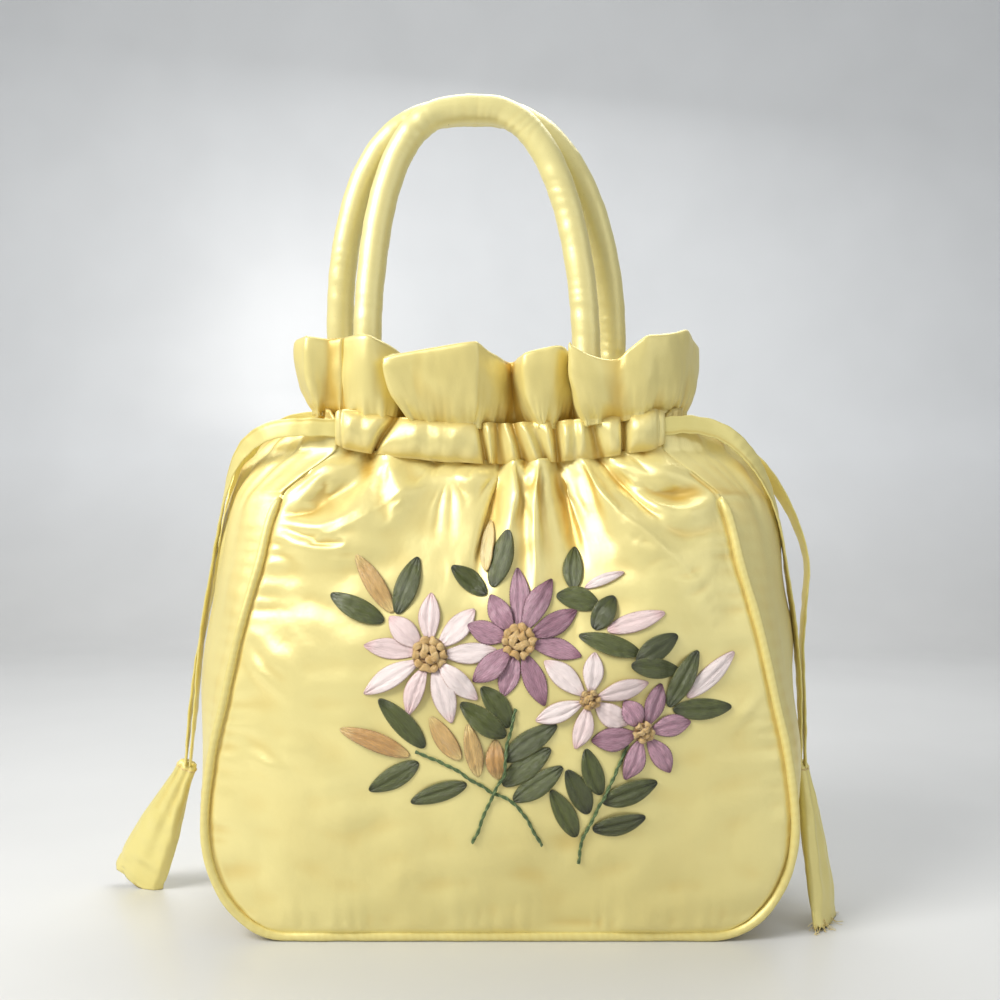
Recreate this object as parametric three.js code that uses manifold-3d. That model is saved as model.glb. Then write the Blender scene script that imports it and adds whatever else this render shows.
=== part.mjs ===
// A small satin handbag: two panels and a gusset with piped seams, a neck gathered by drawstrings
// under a ruffle, two stuffed tube handles, and a spray of flowers sewn in ribbon on the front panel.
// Millimetres, +Z up, the front faces -Y, and the origin is the middle of the base.
import * as THREE from "three";
import { mergeVertices } from "three/addons/utils/BufferGeometryUtils.js";
import Module from "manifold-3d";

// Body
const panelWidth = 220;
const baseWidth = 156;
const cornerHeight = 42;
const baseDepth = 80;
const bellyBulge = 11;
const sideBulge = 24;
const clothWall = 1.6;
const pipingDiameter = 3.4;
const pipingTop = 161;
const pipingFade = 3;
const seamGap = 0.4;

// Gathered neck and ruffle
const neckWidth = 128;
const neckDepth = 43;
const neckBelly = 3.5;
const neckSide = 15;
const neckSag = 6;
const casingBottom = 182;
const casingHeight = 15;
const casingPuff = 3;
const foldDepth = 6;
const ruffleHeight = 27;
const ruffleWidth = 151;
const ruffleDepth = 63;
const ruffleSide = 9;
const ruffleWall = 1.6;
const valleyDepth = 12;
const valleyDip = 6;

// Handles
const handleDiameter = 11.6;
const handleSink = 11;
const handleSpacing = 13.4;

// Drawstrings and their ends
const strapWidth = 7;
const strapThickness = 1.1;
const tieEndLength = 57;
const tieEndWidth = 25;

// Ribbon embroidery
const sprayWidth = 148.5;
const sprayHeight = 122;
const sprayLeft = -61.5;
const sprayBottom = 31;
const ribbonThickness = 0.9;
const leafLength = 22;
const leafWidth = 7.6;
const budLength = 25;
const budWidth = 6.6;
const petalLength = 25;
const petalWidth = 7.8;
const stemWidth = 1.8;

const wasm = await Module();
wasm.setup();

const pipingRadius = pipingDiameter / 2;
const casingTop = casingBottom + casingHeight;
const ruffleBottom = casingTop + 2 * seamGap;
const { lerp, clamp, smoothstep, degToRad } = THREE.MathUtils;
const point = (x, y, z) => new THREE.Vector3(x, y, z);
const steps = (count) => Array.from({ length: count + 1 }, (_, i) => i / count);
const mirrored = (values) => [...values.map((v) => -v).reverse(), ...values];

// Section shares from the base, up 0, past the casing's foot, up 1. width runs from the neck's to the
// panel's, depth from the neck's to the base's, belly and side from none to the full bulge. The side
// bulges most at the shoulders, just under the straps.
const bodySections = [
  { up: 0.0, width: 1.0, depth: 1.0, belly: 0.0, side: 0.0 },
  { up: 0.1, width: 1.0, depth: 1.0, belly: 0.5, side: 0.06 },
  { up: 0.23, width: 1.0, depth: 1.0, belly: 0.85, side: 0.22 },
  { up: 0.37, width: 0.95, depth: 0.97, belly: 1.0, side: 0.42 },
  { up: 0.48, width: 0.86, depth: 0.92, belly: 1.0, side: 0.61 },
  { up: 0.62, width: 0.75, depth: 0.8, belly: 0.9, side: 0.77 },
  { up: 0.75, width: 0.62, depth: 0.6, belly: 0.72, side: 0.88 },
  { up: 0.885, width: 0.49, depth: 0.32, belly: 0.5, side: 1.0 },
  { up: 0.94, width: 0.27, depth: 0.17, belly: 0.38, side: 1.28 },
  { up: 0.975, width: 0.09, depth: 0.05, belly: 0.34, side: 1.48 },
  { up: 1.0, width: 0.0, depth: 0.0, belly: 0.32, side: 1.42 },
  { up: 1.02, width: 0.0, depth: 0.0, belly: 0.32, side: 1.15 },
  { up: 1.045, width: 0.0, depth: 0.0, belly: 0.32, side: neckSide / sideBulge },
];

// Creases that run down a panel from the casing. top and foot are shares of the half width,
// reach is a share of the body's height, and depth of foldDepth.
const creases = [
  { top: -0.75, foot: -0.6, reach: 0.24, width: 0.13, depth: 1.0 },
  { top: -0.36, foot: -0.42, reach: 0.18, width: 0.09, depth: 0.4 },
  { top: -0.02, foot: -0.08, reach: 0.36, width: 0.11, depth: 0.75 },
  { top: 0.19, foot: 0.07, reach: 0.24, width: 0.08, depth: 0.8 },
  { top: 0.36, foot: 0.24, reach: 0.2, width: 0.07, depth: 0.6 },
  { top: 0.56, foot: 0.45, reach: 0.38, width: 0.11, depth: 0.95 },
  { top: 0.8, foot: 0.72, reach: 0.18, width: 0.09, depth: 0.5 },
];

// Where the casing is drawn together, as shares of the half width.
const pinches = [-0.77, -0.58, -0.13, 0.04, 0.14, 0.33, 0.52, 0.76];
const pinchWidth = 0.055;

// Valleys between the folds of the ruffle on one half turn, from the left of a panel at 0 to its right
// at 1 and across the gusset to 2. depth and lean, how far a valley's floor runs under the next fold,
// are shares of valleyDepth, and dip of valleyDip.
const valleys = [
  { foot: 0.05, head: 0.08, width: 0.055, depth: 0.3, dip: -0.4, lean: 0 },
  { foot: 0.21, head: 0.24, width: 0.05, depth: 1.0, dip: 0.75, lean: 0.7 },
  { foot: 0.4, head: 0.37, width: 0.05, depth: 0.12, dip: 0.3, lean: 0 },
  { foot: 0.53, head: 0.53, width: 0.045, depth: 0.95, dip: 0.45, lean: 0.1 },
  { foot: 0.74, head: 0.7, width: 0.045, depth: 0.95, dip: 0.3, lean: 0.5 },
  { foot: 0.83, head: 0.79, width: 0.06, depth: 0.2, dip: 0.9, lean: 0 },
  { foot: 0.94, head: 0.91, width: 0.04, depth: 0.4, dip: -0.2, lean: 0.2 },
  { foot: 1.3, head: 1.24, width: 0.07, depth: 0.6, dip: -0.2, lean: 0 },
  { foot: 1.66, head: 1.7, width: 0.08, depth: 0.7, dip: 0.2, lean: 0 },
];

// The value of a column at a height, on a smooth curve through the rows that doesn't overshoot.
function tableValue(rows, column, up) {
  const last = rows.length - 1;
  if (up <= rows[0].up) return rows[0][column];
  if (up >= rows[last].up) return rows[last][column];
  const i = rows.findIndex((row) => row.up > up) - 1;
  const slope = (k) => {
    if (k === 0 || k === last) return 0;
    const before = rows[k][column] - rows[k - 1][column];
    const after = rows[k + 1][column] - rows[k][column];
    return before * after > 0 ? (before + after) / (rows[k + 1].up - rows[k - 1].up) : 0;
  };
  const span = rows[i + 1].up - rows[i].up;
  const t = (up - rows[i].up) / span;
  const rise = rows[i + 1][column] - rows[i][column];
  const bend = span * (slope(i) * (1 - t) - slope(i + 1) * t);
  return rows[i][column] + rise * t * t * (3 - 2 * t) + bend * t * (1 - t);
}

// The bag's section at a height: half width, half depth, and how far its faces and sides bulge.
function sectionAt(z) {
  const climb = clamp((z - casingTop) / ruffleHeight, 0, 1);
  if (climb > 0) {
    const flare = 1 - (1 - climb) ** 2;
    return {
      halfWidth: lerp(neckWidth, ruffleWidth, flare) / 2,
      halfDepth: lerp(neckDepth, ruffleDepth, flare) / 2,
      belly: neckBelly,
      side: lerp(neckSide, ruffleSide, flare),
    };
  }
  const up = z / casingBottom;
  const width = tableValue(bodySections, "width", up);
  return {
    halfWidth: lerp(neckWidth, panelWidth, width) / 2,
    halfDepth: lerp(neckDepth, baseDepth, tableValue(bodySections, "depth", up)) / 2,
    belly: up < 1 ? bellyBulge * tableValue(bodySections, "belly", up) : neckBelly,
    side: sideBulge * tableValue(bodySections, "side", up),
  };
}

// Half the width of the panel's outline at a height, drawn in by inset all round, corners included.
function outlineHalfWidth(z, inset) {
  if (z >= cornerHeight) return sectionAt(z).halfWidth - inset;
  const drop = clamp((cornerHeight - z) / (cornerHeight - inset), 0, 1);
  const cornerWidth = (panelWidth - baseWidth) / 2;
  return baseWidth / 2 + (cornerWidth - inset) * Math.sqrt(1 - drop * drop);
}

// Stations up the right side of the outline from the middle of the base, as point and outward normal.
// The heights are the same for every piece, so that neighbours bend at the same places.
const sideShares = [0, 0.1, 0.2, 0.3, 0.4, 0.5, 0.59, 0.68, 0.77, 0.91, 0.96, 1];
const sideHeights = sideShares
  .map((share) => lerp(cornerHeight, casingBottom, share))
  .concat(pipingTop, lerp(casingBottom, casingTop, 0.25), lerp(casingBottom, casingTop, 0.55))
  .sort((a, b) => a - b);
const cornerSteps = 6;

function outlineStations(inset, top) {
  const stations = [{ x: 0, z: inset, nx: 0, nz: -1 }];
  for (const t of steps(cornerSteps).slice(0, -1)) {
    const angle = (t * Math.PI) / 2;
    stations.push({
      x: baseWidth / 2 + ((panelWidth - baseWidth) / 2 - inset) * Math.sin(angle),
      z: cornerHeight - (cornerHeight - inset) * Math.cos(angle),
      nx: Math.sin(angle),
      nz: -Math.cos(angle),
    });
  }
  for (const z of [...sideHeights.filter((height) => height < top - clothWall), top]) {
    stations.push({ x: outlineHalfWidth(z, inset), z, nx: 1, nz: 0 });
  }
  return stations;
}

// The whole outline from the top left, under the base, to the top right.
function wholeOutline(inset, top) {
  const right = outlineStations(inset, top);
  const left = right.slice(1).map((s) => ({ ...s, x: -s.x, nx: -s.nx }));
  return [...left.reverse(), ...right];
}

// How far the panel's edge lies inside the outline: room for the piping, and above it for the gusset.
function panelInset(z) {
  const piped = 2 * pipingRadius + seamGap;
  const plain = 1.5 * clothWall + seamGap;
  return lerp(piped, plain, smoothstep(z, pipingTop, pipingTop + pipingFade));
}

// The sum of the creases at a share of the half width and a height.
function creaseAt(u, z) {
  let sum = 0;
  for (const crease of creases) {
    const footHeight = casingBottom * (1 - crease.reach);
    const climb = clamp((z - footHeight) / (casingBottom - footHeight), 0, 1);
    const across = (u - lerp(crease.foot, crease.top, climb)) / (crease.width * (1.9 - 0.9 * climb));
    sum += crease.depth * climb * climb * Math.exp(-across * across);
  }
  return foldDepth * sum;
}

// How far the neck hangs down in the middle of a panel.
function sagAt(u, z) {
  return neckSag * (1 - u * u) * smoothstep(z, 0.72 * casingBottom, casingBottom);
}

// A point on the outside of the front panel, at a share of its half width and a height.
function frontPoint(u, z) {
  const { halfDepth, belly } = sectionAt(z);
  const bulge = belly * (1 - Math.abs(u) ** 3.5) - creaseAt(u, z) * (1 - u ** 8);
  return point(u * outlineHalfWidth(z, panelInset(z)), -(halfDepth + bulge), z - sagAt(u, z));
}

// Solids

// Faces from corner points, turned so that they point out.
function closedMesh(points, faces) {
  let volume = 0;
  for (const [a, b, c] of faces) {
    volume += points[a].dot(points[b].clone().cross(points[c]));
  }
  const turned = volume < 0 ? faces.map(([a, b, c]) => [a, c, b]) : faces;
  const geometry = new THREE.BufferGeometry();
  const coordinates = points.flatMap((p) => p.toArray());
  geometry.setAttribute("position", new THREE.Float32BufferAttribute(coordinates, 3));
  geometry.setIndex(turned.flat());
  geometry.computeVertexNormals();
  return geometry;
}

// A cloth wall between two grids of points. A ring's rows close on themselves.
function wall(outer, inner, isRing = false) {
  const rows = outer.length;
  const columns = outer[0].length;
  const points = [...outer.flat(), ...inner.flat()];
  const faces = [];
  const at = (layer, i, j) => (layer * rows + i) * columns + (j % columns);
  const quad = (a, b, c, d) => faces.push([a, b, c], [a, c, d]);
  const spans = isRing ? columns : columns - 1;
  for (let j = 0; j < spans; j++) {
    for (let i = 0; i < rows - 1; i++) {
      quad(at(0, i, j), at(0, i, j + 1), at(0, i + 1, j + 1), at(0, i + 1, j));
      quad(at(1, i, j), at(1, i + 1, j), at(1, i + 1, j + 1), at(1, i, j + 1));
    }
    quad(at(0, 0, j), at(1, 0, j), at(1, 0, j + 1), at(0, 0, j + 1));
    const top = rows - 1;
    quad(at(0, top, j), at(0, top, j + 1), at(1, top, j + 1), at(1, top, j));
  }
  for (let i = 0; i < rows - 1 && !isRing; i++) {
    quad(at(0, i, 0), at(0, i + 1, 0), at(1, i + 1, 0), at(1, i, 0));
    const side = columns - 1;
    quad(at(0, i, side), at(1, i, side), at(1, i + 1, side), at(0, i + 1, side));
  }
  return closedMesh(points, faces);
}

// A bar through a row of rings of equal size, with flat ends.
function bar(rings) {
  const sides = rings[0].length;
  const points = rings.flat();
  const faces = [];
  for (let i = 0; i < rings.length - 1; i++) {
    for (let j = 0; j < sides; j++) {
      const a = i * sides + j;
      const b = i * sides + ((j + 1) % sides);
      faces.push([a, b, b + sides], [a, b + sides, a + sides]);
    }
  }
  const last = (rings.length - 1) * sides;
  for (let j = 1; j < sides - 1; j++) {
    faces.push([0, j + 1, j], [last, last + j, last + j + 1]);
  }
  return closedMesh(points, faces);
}

// Rings of a given section along a line of points. facing says which way the section's thin side looks.
function ringsAlong(line, section, facing) {
  return line.map((centre, i) => {
    const ahead = line[Math.min(i + 1, line.length - 1)];
    const behind = line[Math.max(i - 1, 0)];
    const along = ahead.clone().sub(behind).normalize();
    const out = facing(i / (line.length - 1));
    out.addScaledVector(along, -out.dot(along)).normalize();
    const across = along.clone().cross(out);
    return section(i / (line.length - 1)).map(([wide, thick]) =>
      centre.clone().addScaledVector(across, wide).addScaledVector(out, thick),
    );
  });
}

// A round or oval section with a number of sides.
function ovalSection(width, thickness, sides) {
  return steps(sides)
    .slice(0, -1)
    .map((t) => {
      const angle = (t + 0.5 / sides) * 2 * Math.PI;
      return [(width / 2) * Math.cos(angle), (thickness / 2) * Math.sin(angle)];
    });
}

function toSolid(geometry) {
  const bare = geometry.clone();
  bare.deleteAttribute("normal");
  const merged = mergeVertices(bare, 1e-4);
  const vertProperties = merged.attributes.position.array;
  const triVerts = new Uint32Array(merged.index.array);
  return new wasm.Manifold(new wasm.Mesh({ numProp: 3, vertProperties, triVerts }));
}

// Several overlapping geometries joined into one body.
function joined(geometries) {
  const whole = geometries.map(toSolid).reduce((sum, next) => sum.add(next));
  const mesh = whole.getMesh();
  const geometry = new THREE.BufferGeometry();
  geometry.setAttribute("position", new THREE.BufferAttribute(mesh.vertProperties, 3));
  geometry.setIndex(new THREE.BufferAttribute(mesh.triVerts, 1));
  geometry.computeVertexNormals();
  return geometry;
}

// The body's pieces

function panel(isFront, columns) {
  const turn = isFront ? 1 : -1;
  const rows = outlineStations(panelInset(0), casingBottom - seamGap / 2).slice(1);
  const shares = steps(columns).map((t) => 2 * t - 1);
  const outer = rows.map(({ z }) =>
    shares.map((u) => {
      const p = frontPoint(u, z);
      return point(p.x * turn, p.y * turn, p.z);
    }),
  );
  const inward = point(0, clothWall * turn, 0);
  return wall(outer, outer.map((row) => row.map((p) => p.clone().add(inward))));
}

// The strip that runs down one side, under the base and up the other side, as high as the ruffle.
function gusset() {
  const stations = wholeOutline(0, casingTop);
  const shares = [-1, -0.86, -0.45, 0, 0.45, 0.86, 1];
  const surface = (station, w, lift) => {
    const { halfDepth, side } = sectionAt(station.z);
    const isPiped = 1 - smoothstep(station.z, pipingTop, pipingTop + pipingFade);
    const edge = halfDepth - isPiped * (pipingRadius + 1.4 * seamGap);
    const tuck = isPiped * pipingRadius * smoothstep(Math.abs(w), 0.86, 1);
    const out = side * station.nx ** 2 * (1 - w * w) - tuck + lift;
    return point(station.x + station.nx * out, w * edge, station.z + station.nz * out);
  };
  const grid = (lift) => stations.map((station) => shares.map((w) => surface(station, w, lift)));
  return wall(grid(0), grid(-clothWall));
}

// The cord-filled piping along a panel's seam.
function piping(isFront) {
  const line = wholeOutline(pipingRadius, pipingTop).map((s) => {
    const { halfDepth } = sectionAt(s.z);
    return point(s.x, (isFront ? -1 : 1) * halfDepth, s.z);
  });
  const section = ovalSection(pipingDiameter, pipingDiameter, 6);
  return bar(ringsAlong(line, () => section, () => point(0, 1, 0)));
}

// The band over the drawstring on one face of the neck, puffed out between the places where it is
// drawn together.
function casing(isFront) {
  const turn = isFront ? 1 : -1;
  const rows = [
    { up: 0, puff: 0 },
    { up: 0.25, puff: 0.8 },
    { up: 0.7, puff: 1 },
    { up: 1, puff: 0.15 },
  ];
  const ends = [-1, -0.93, 0.93, 1];
  const shares = [...pinches.flatMap((u) => [u - 0.07, u, u + 0.07]), ...ends];
  const inOrder = shares.sort((a, b) => a - b).filter((u, i, all) => i === 0 || u - all[i - 1] > 0.02);
  const outer = rows.map((row) =>
    inOrder.map((u) => {
      const pinch = pinches.reduce((sum, at) => sum + Math.exp(-(((u - at) / pinchWidth) ** 2)), 0);
      const puff = casingPuff * row.puff * (1 - 0.85 * Math.min(pinch, 1)) * (1 - u ** 8);
      const p = frontPoint(u, casingBottom);
      const z = lerp(casingBottom + seamGap / 2, casingTop, row.up) - sagAt(u, casingBottom);
      return point(p.x * turn, (p.y - puff) * turn, z);
    }),
  );
  const inner = outer.map((row) =>
    row.map((p, j) => {
      const { y } = frontPoint(inOrder[j], casingBottom);
      return point(p.x, (y + clothWall) * turn, p.z);
    }),
  );
  return wall(outer, inner);
}

// The neck's outline in plan at a height above the casing: 0 to 1 along the front, to 2 across the
// right side, to 3 along the back and to 4 across the left side.
function neckPoint(q, climb) {
  const z = lerp(ruffleBottom, ruffleBottom + ruffleHeight, climb);
  const { halfWidth, halfDepth, belly, side } = sectionAt(z);
  const halfTurn = q % 2;
  const facing = q % 4 < 2 ? 1 : -1;
  let fold = 0;
  let dip = 0;
  let lean = 0;
  for (const valley of valleys) {
    const across = (halfTurn - lerp(valley.foot, valley.head, climb)) / valley.width;
    const shape = Math.exp(-across * across);
    fold += valley.depth * shape;
    dip += valley.dip * shape;
    lean += valley.lean * shape;
  }
  const grow = 0.5 + 0.5 * climb;
  const inward = valleyDepth * fold * grow;
  const along = valleyDepth * lean * climb;
  const height = z - valleyDip * dip * climb * climb;
  if (halfTurn <= 1) {
    const u = 2 * halfTurn - 1;
    const out = belly * (1 - Math.abs(u) ** 3.5) - inward;
    const casingHalf = outlineHalfWidth(casingBottom, panelInset(casingBottom));
    const reach = clamp((u * halfWidth) / casingHalf, -1, 1);
    const sag = sagAt(reach, casingBottom) * (1 - 0.45 * climb);
    return point(facing * (u * halfWidth + along), -facing * (halfDepth + out), height - sag);
  }
  const w = 2 * (halfTurn - 1) - 1;
  const out = side * (1 - w * w) - inward;
  return point(facing * (halfWidth + out), facing * w * halfDepth, height);
}

// Places round the ruffle, closer together in the valleys.
function ruffleStations() {
  const half = [0, 1];
  for (const { foot, head, width, depth } of valleys) {
    const offsets = depth > 0.5 ? [0, ...mirrored([0.5, 1.2])] : mirrored([0.7]);
    for (const offset of offsets) half.push((foot + head) / 2 + offset * width);
  }
  const inOrder = half.filter((q) => q >= 0 && q < 2).sort((a, b) => a - b);
  const apart = inOrder.filter((q, i) => i === 0 || q - inOrder[i - 1] > 0.012);
  return [...apart, ...apart.map((q) => q + 2)];
}

function ruffle() {
  const stations = ruffleStations();
  const outer = steps(3).map((climb) => stations.map((q) => neckPoint(q, climb)));
  const inner = steps(3).map((climb, i) =>
    stations.map((q, j) => {
      const ahead = neckPoint(q + 0.01, climb);
      const behind = neckPoint((q + 3.99) % 4, climb);
      const inward = point(behind.y - ahead.y, ahead.x - behind.x, 0).normalize();
      return outer[i][j].clone().addScaledVector(inward, ruffleWall);
    }),
  );
  return wall(outer, inner, true);
}

// Handles

// left and right are how far the limbs stand from the crown's middle, and square is how boxy the arch is.
const handles = {
  handle_front: { facing: -1, middle: -9.5, left: 44, right: 45, rise: 134, pinch: 0.05 },
  handle_back: { facing: 1, middle: -10, left: 59, right: 60, rise: 138, pinch: 0.24 },
};
const squareLeft = 3;
const squareRight = 2.5;
const pinchPower = 6;
const handleSides = 8;

// How far from the middle a handle's foot stands, so that it lies against the inside of the neck
// between two distances across.
function seatDepth(from, to, facing) {
  const casingHalf = outlineHalfWidth(casingBottom, panelInset(casingBottom));
  const margin = (Math.sign(to - from) * handleDiameter) / 4;
  const faces = steps(8).flatMap((t) => {
    const u = clamp((-facing * lerp(from - margin, to + margin, t)) / casingHalf, -1, 1);
    return [-frontPoint(u, casingBottom).y, -neckPoint((1 + u) / 2, 0).y];
  });
  const tubeSide = (handleDiameter / 2) * Math.cos(Math.PI / handleSides);
  return Math.min(...faces) - clothWall - tubeSide - seamGap;
}

function handleLine({ facing, middle, left, right, rise, pinch }) {
  const foot = 1 - pinch;
  const neck = 1 - pinch * (1 - handleSink / rise) ** pinchPower;
  const seatLeft = seatDepth(middle - left * foot, middle - left * neck, facing);
  const seatRight = seatDepth(middle + right * foot, middle + right * neck, facing);
  return steps(24).map((t) => {
    const angle = Math.PI * (1 - t);
    const isLeft = angle > Math.PI / 2;
    const power = 2 / (isLeft ? squareLeft : squareRight);
    const up = Math.abs(Math.sin(angle)) ** power;
    const across = Math.sign(Math.cos(angle)) * Math.abs(Math.cos(angle)) ** power;
    const narrow = 1 - pinch * (1 - up) ** pinchPower;
    const x = middle + across * narrow * (isLeft ? left : right);
    const seat = isLeft ? seatLeft : seatRight;
    const y = facing * lerp(seat, handleSpacing / 2, smoothstep(up, 0.1, 1));
    return point(x, y, casingTop - handleSink + rise * up);
  });
}

function handle(sizes) {
  const section = ovalSection(handleDiameter, handleDiameter, handleSides);
  return bar(ringsAlong(handleLine(sizes), () => section, () => point(0, 1, 0)));
}

// Drawstrings. Each route starts where the strap leaves its casing and ends at the tie end.
// looks is the compass direction of the strap's flat face, 270 to the front, 180 left and 0 right.
const drawstrings = {
  drawstring_left_front: [
    { x: -62.2, y: -22.6, z: 189.5, looks: 270 },
    { x: -77, y: -22.2, z: 189.8, looks: 267 },
    { x: -89, y: -20, z: 188.6, looks: 256 },
    { x: -98.5, y: -16, z: 184, looks: 238 },
    { x: -105.5, y: -12, z: 175.5, looks: 214 },
    { x: -109.8, y: -8.8, z: 163.5, looks: 196 },
    { x: -113, y: -6.6, z: 149, looks: 187 },
    { x: -116.2, y: -5, z: 131, looks: 182 },
    { x: -119.4, y: -4, z: 112, looks: 180 },
    { x: -121.8, y: -2, z: 94, looks: 181 },
    { x: -124, y: 1, z: 76, looks: 184 },
    { x: -126.5, y: 2.5, z: 54, looks: 195 },
  ],
  drawstring_left_back: [
    { x: -62.2, y: 22.6, z: 192.5, looks: 90 },
    { x: -75, y: 22.4, z: 196.5, looks: 93 },
    { x: -87, y: 20.6, z: 196, looks: 104 },
    { x: -97, y: 16.8, z: 190.5, looks: 124 },
    { x: -105, y: 12.2, z: 181, looks: 146 },
    { x: -110.2, y: 8.8, z: 168, looks: 163 },
    { x: -113.4, y: 6.6, z: 152.5, looks: 172 },
    { x: -116.6, y: 5.2, z: 135, looks: 178 },
    { x: -120.6, y: 4.8, z: 116, looks: 180 },
    { x: -124.2, y: 3.8, z: 95, looks: 180 },
    { x: -126.6, y: 3.2, z: 76, looks: 184 },
    { x: -128.6, y: 3.2, z: 54, looks: 195 },
  ],
  drawstring_right_front: [
    { x: 62.2, y: -22.6, z: 190, looks: 270 },
    { x: 75, y: -21.4, z: 190.8, looks: 275 },
    { x: 88, y: -18.4, z: 187.4, looks: 290 },
    { x: 99, y: -14.4, z: 178.5, looks: 312 },
    { x: 107, y: -10.8, z: 166, looks: 334 },
    { x: 112, y: -8, z: 151, looks: 348 },
    { x: 115, y: -6.4, z: 133, looks: 356 },
    { x: 118, y: -6.2, z: 111, looks: 0 },
    { x: 119.6, y: -7.2, z: 86, looks: 358 },
    { x: 119.4, y: -8.6, z: 55.6, looks: 350 },
  ],
  drawstring_right_back: [
    { x: 62.2, y: 22.6, z: 192, looks: 90 },
    { x: 79, y: 21, z: 192.6, looks: 85 },
    { x: 94, y: 15.4, z: 187.4, looks: 64 },
    { x: 106, y: 8.6, z: 178, looks: 34 },
    { x: 115.6, y: 4.2, z: 164.5, looks: 14 },
    { x: 122, y: 2, z: 150, looks: 5 },
    { x: 125.2, y: 1, z: 136, looks: 0 },
    { x: 123.6, y: -1, z: 120, looks: 0 },
    { x: 121.8, y: -3.2, z: 102, looks: 358 },
    { x: 121.8, y: -5.2, z: 84, looks: 356 },
    { x: 121.4, y: -8.2, z: 55.6, looks: 350 },
  ],
};

function compass(degrees) {
  return point(Math.cos(degToRad(degrees)), Math.sin(degToRad(degrees)), 0);
}

function drawstring(route) {
  const curve = new THREE.CatmullRomCurve3(route.map(({ x, y, z }) => point(x, y, z)));
  const looks = (t) => {
    const at = t * (route.length - 1);
    const i = Math.min(Math.floor(at), route.length - 2);
    const from = route[i].looks;
    const apart = route[i + 1].looks - from;
    const turn = apart - 360 * Math.round(apart / 360);
    return compass(from + turn * (at - i));
  };
  const line = steps(15).map((t) => curve.getPoint(t));
  const section = ovalSection(strapWidth, strapThickness, 8);
  return bar(ringsAlong(line, () => section, looks));
}

// The cloth ends sewn under each pair of straps: where their feet lie and the way their flat side looks.
const tieEnds = {
  tie_end_left: {
    straps: ["drawstring_left_front", "drawstring_left_back"],
    foot: { x: -154, y: 17 },
    looks: 250,
    flat: 1,
    gap: 4.6 * seamGap,
  },
  tie_end_right: {
    straps: ["drawstring_right_front", "drawstring_right_back"],
    foot: { x: 124.4, y: -22 },
    looks: 328,
    flat: 0.9,
    gap: 2.2 * seamGap,
  },
};
const tieSections = [
  { along: 0, width: 0.32, thick: 0.17 },
  { along: 0.12, width: 0.34, thick: 0.2 },
  { along: 0.3, width: 0.52, thick: 0.3 },
  { along: 0.55, width: 0.76, thick: 0.34 },
  { along: 0.8, width: 0.93, thick: 0.32 },
  { along: 1, width: 1, thick: 0.22 },
];

function tieEnd({ straps, foot, looks, flat, gap }) {
  const [first, second] = straps.map((name) => drawstrings[name].at(-1));
  const start = point(first.x + second.x, first.y + second.y, first.z + second.z).divideScalar(2);
  const lean = point(foot.x, foot.y, 0).sub(start);
  start.addScaledVector(lean, gap / lean.length());
  const end = start.clone().addScaledVector(lean, tieEndLength / lean.length());
  const line = tieSections.map(({ along }) => start.clone().lerp(end, along));
  const rings = ringsAlong(
    line,
    (t) => {
      const row = tieSections[Math.round(t * (tieSections.length - 1))];
      return ovalSection(tieEndWidth * row.width, tieEndWidth * row.thick * flat, 10);
    },
    () => compass(looks),
  );
  const onFloor = rings.map((ring) => ring.map((p) => point(p.x, p.y, Math.max(p.z, 0))));
  return bar(onFloor);
}

// Ribbon embroidery

// A flower's petals are [degrees from +X towards +Z, share of petalLength], and eye is the radius of the
// knots in its middle, a share of petalLength too.
const flowers = {
  flower_white_left: {
    across: 0.245,
    up: 0.61,
    eye: 0.26,
    petals: [[90, 0.87], [138, 0.8], [172, 0.96], [210, 1.08], [250, 0.88], [289, 0.99], [318, 0.92],
      [4, 0.96], [45, 0.9]],
  },
  flower_white_right: {
    across: 0.628,
    up: 0.484,
    eye: 0.14,
    petals: [[82, 0.66], [140, 0.83], [201, 0.82], [253, 0.71], [15, 0.88], [328, 0.65]],
  },
  flower_mauve_small: {
    across: 0.757,
    up: 0.388,
    eye: 0.15,
    petals: [[68, 0.73], [121, 0.52], [188, 0.75], [10, 0.71], [247, 0.7], [304, 0.69]],
  },
  flower_mauve_large: {
    across: 0.46,
    up: 0.649,
    eye: 0.25,
    petals: [[91, 1.04], [61, 1], [27, 0.95], [347, 0.92], [292, 0.96], [253, 0.8], [220, 0.86],
      [164, 0.77], [122, 0.77]],
  },
};

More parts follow.
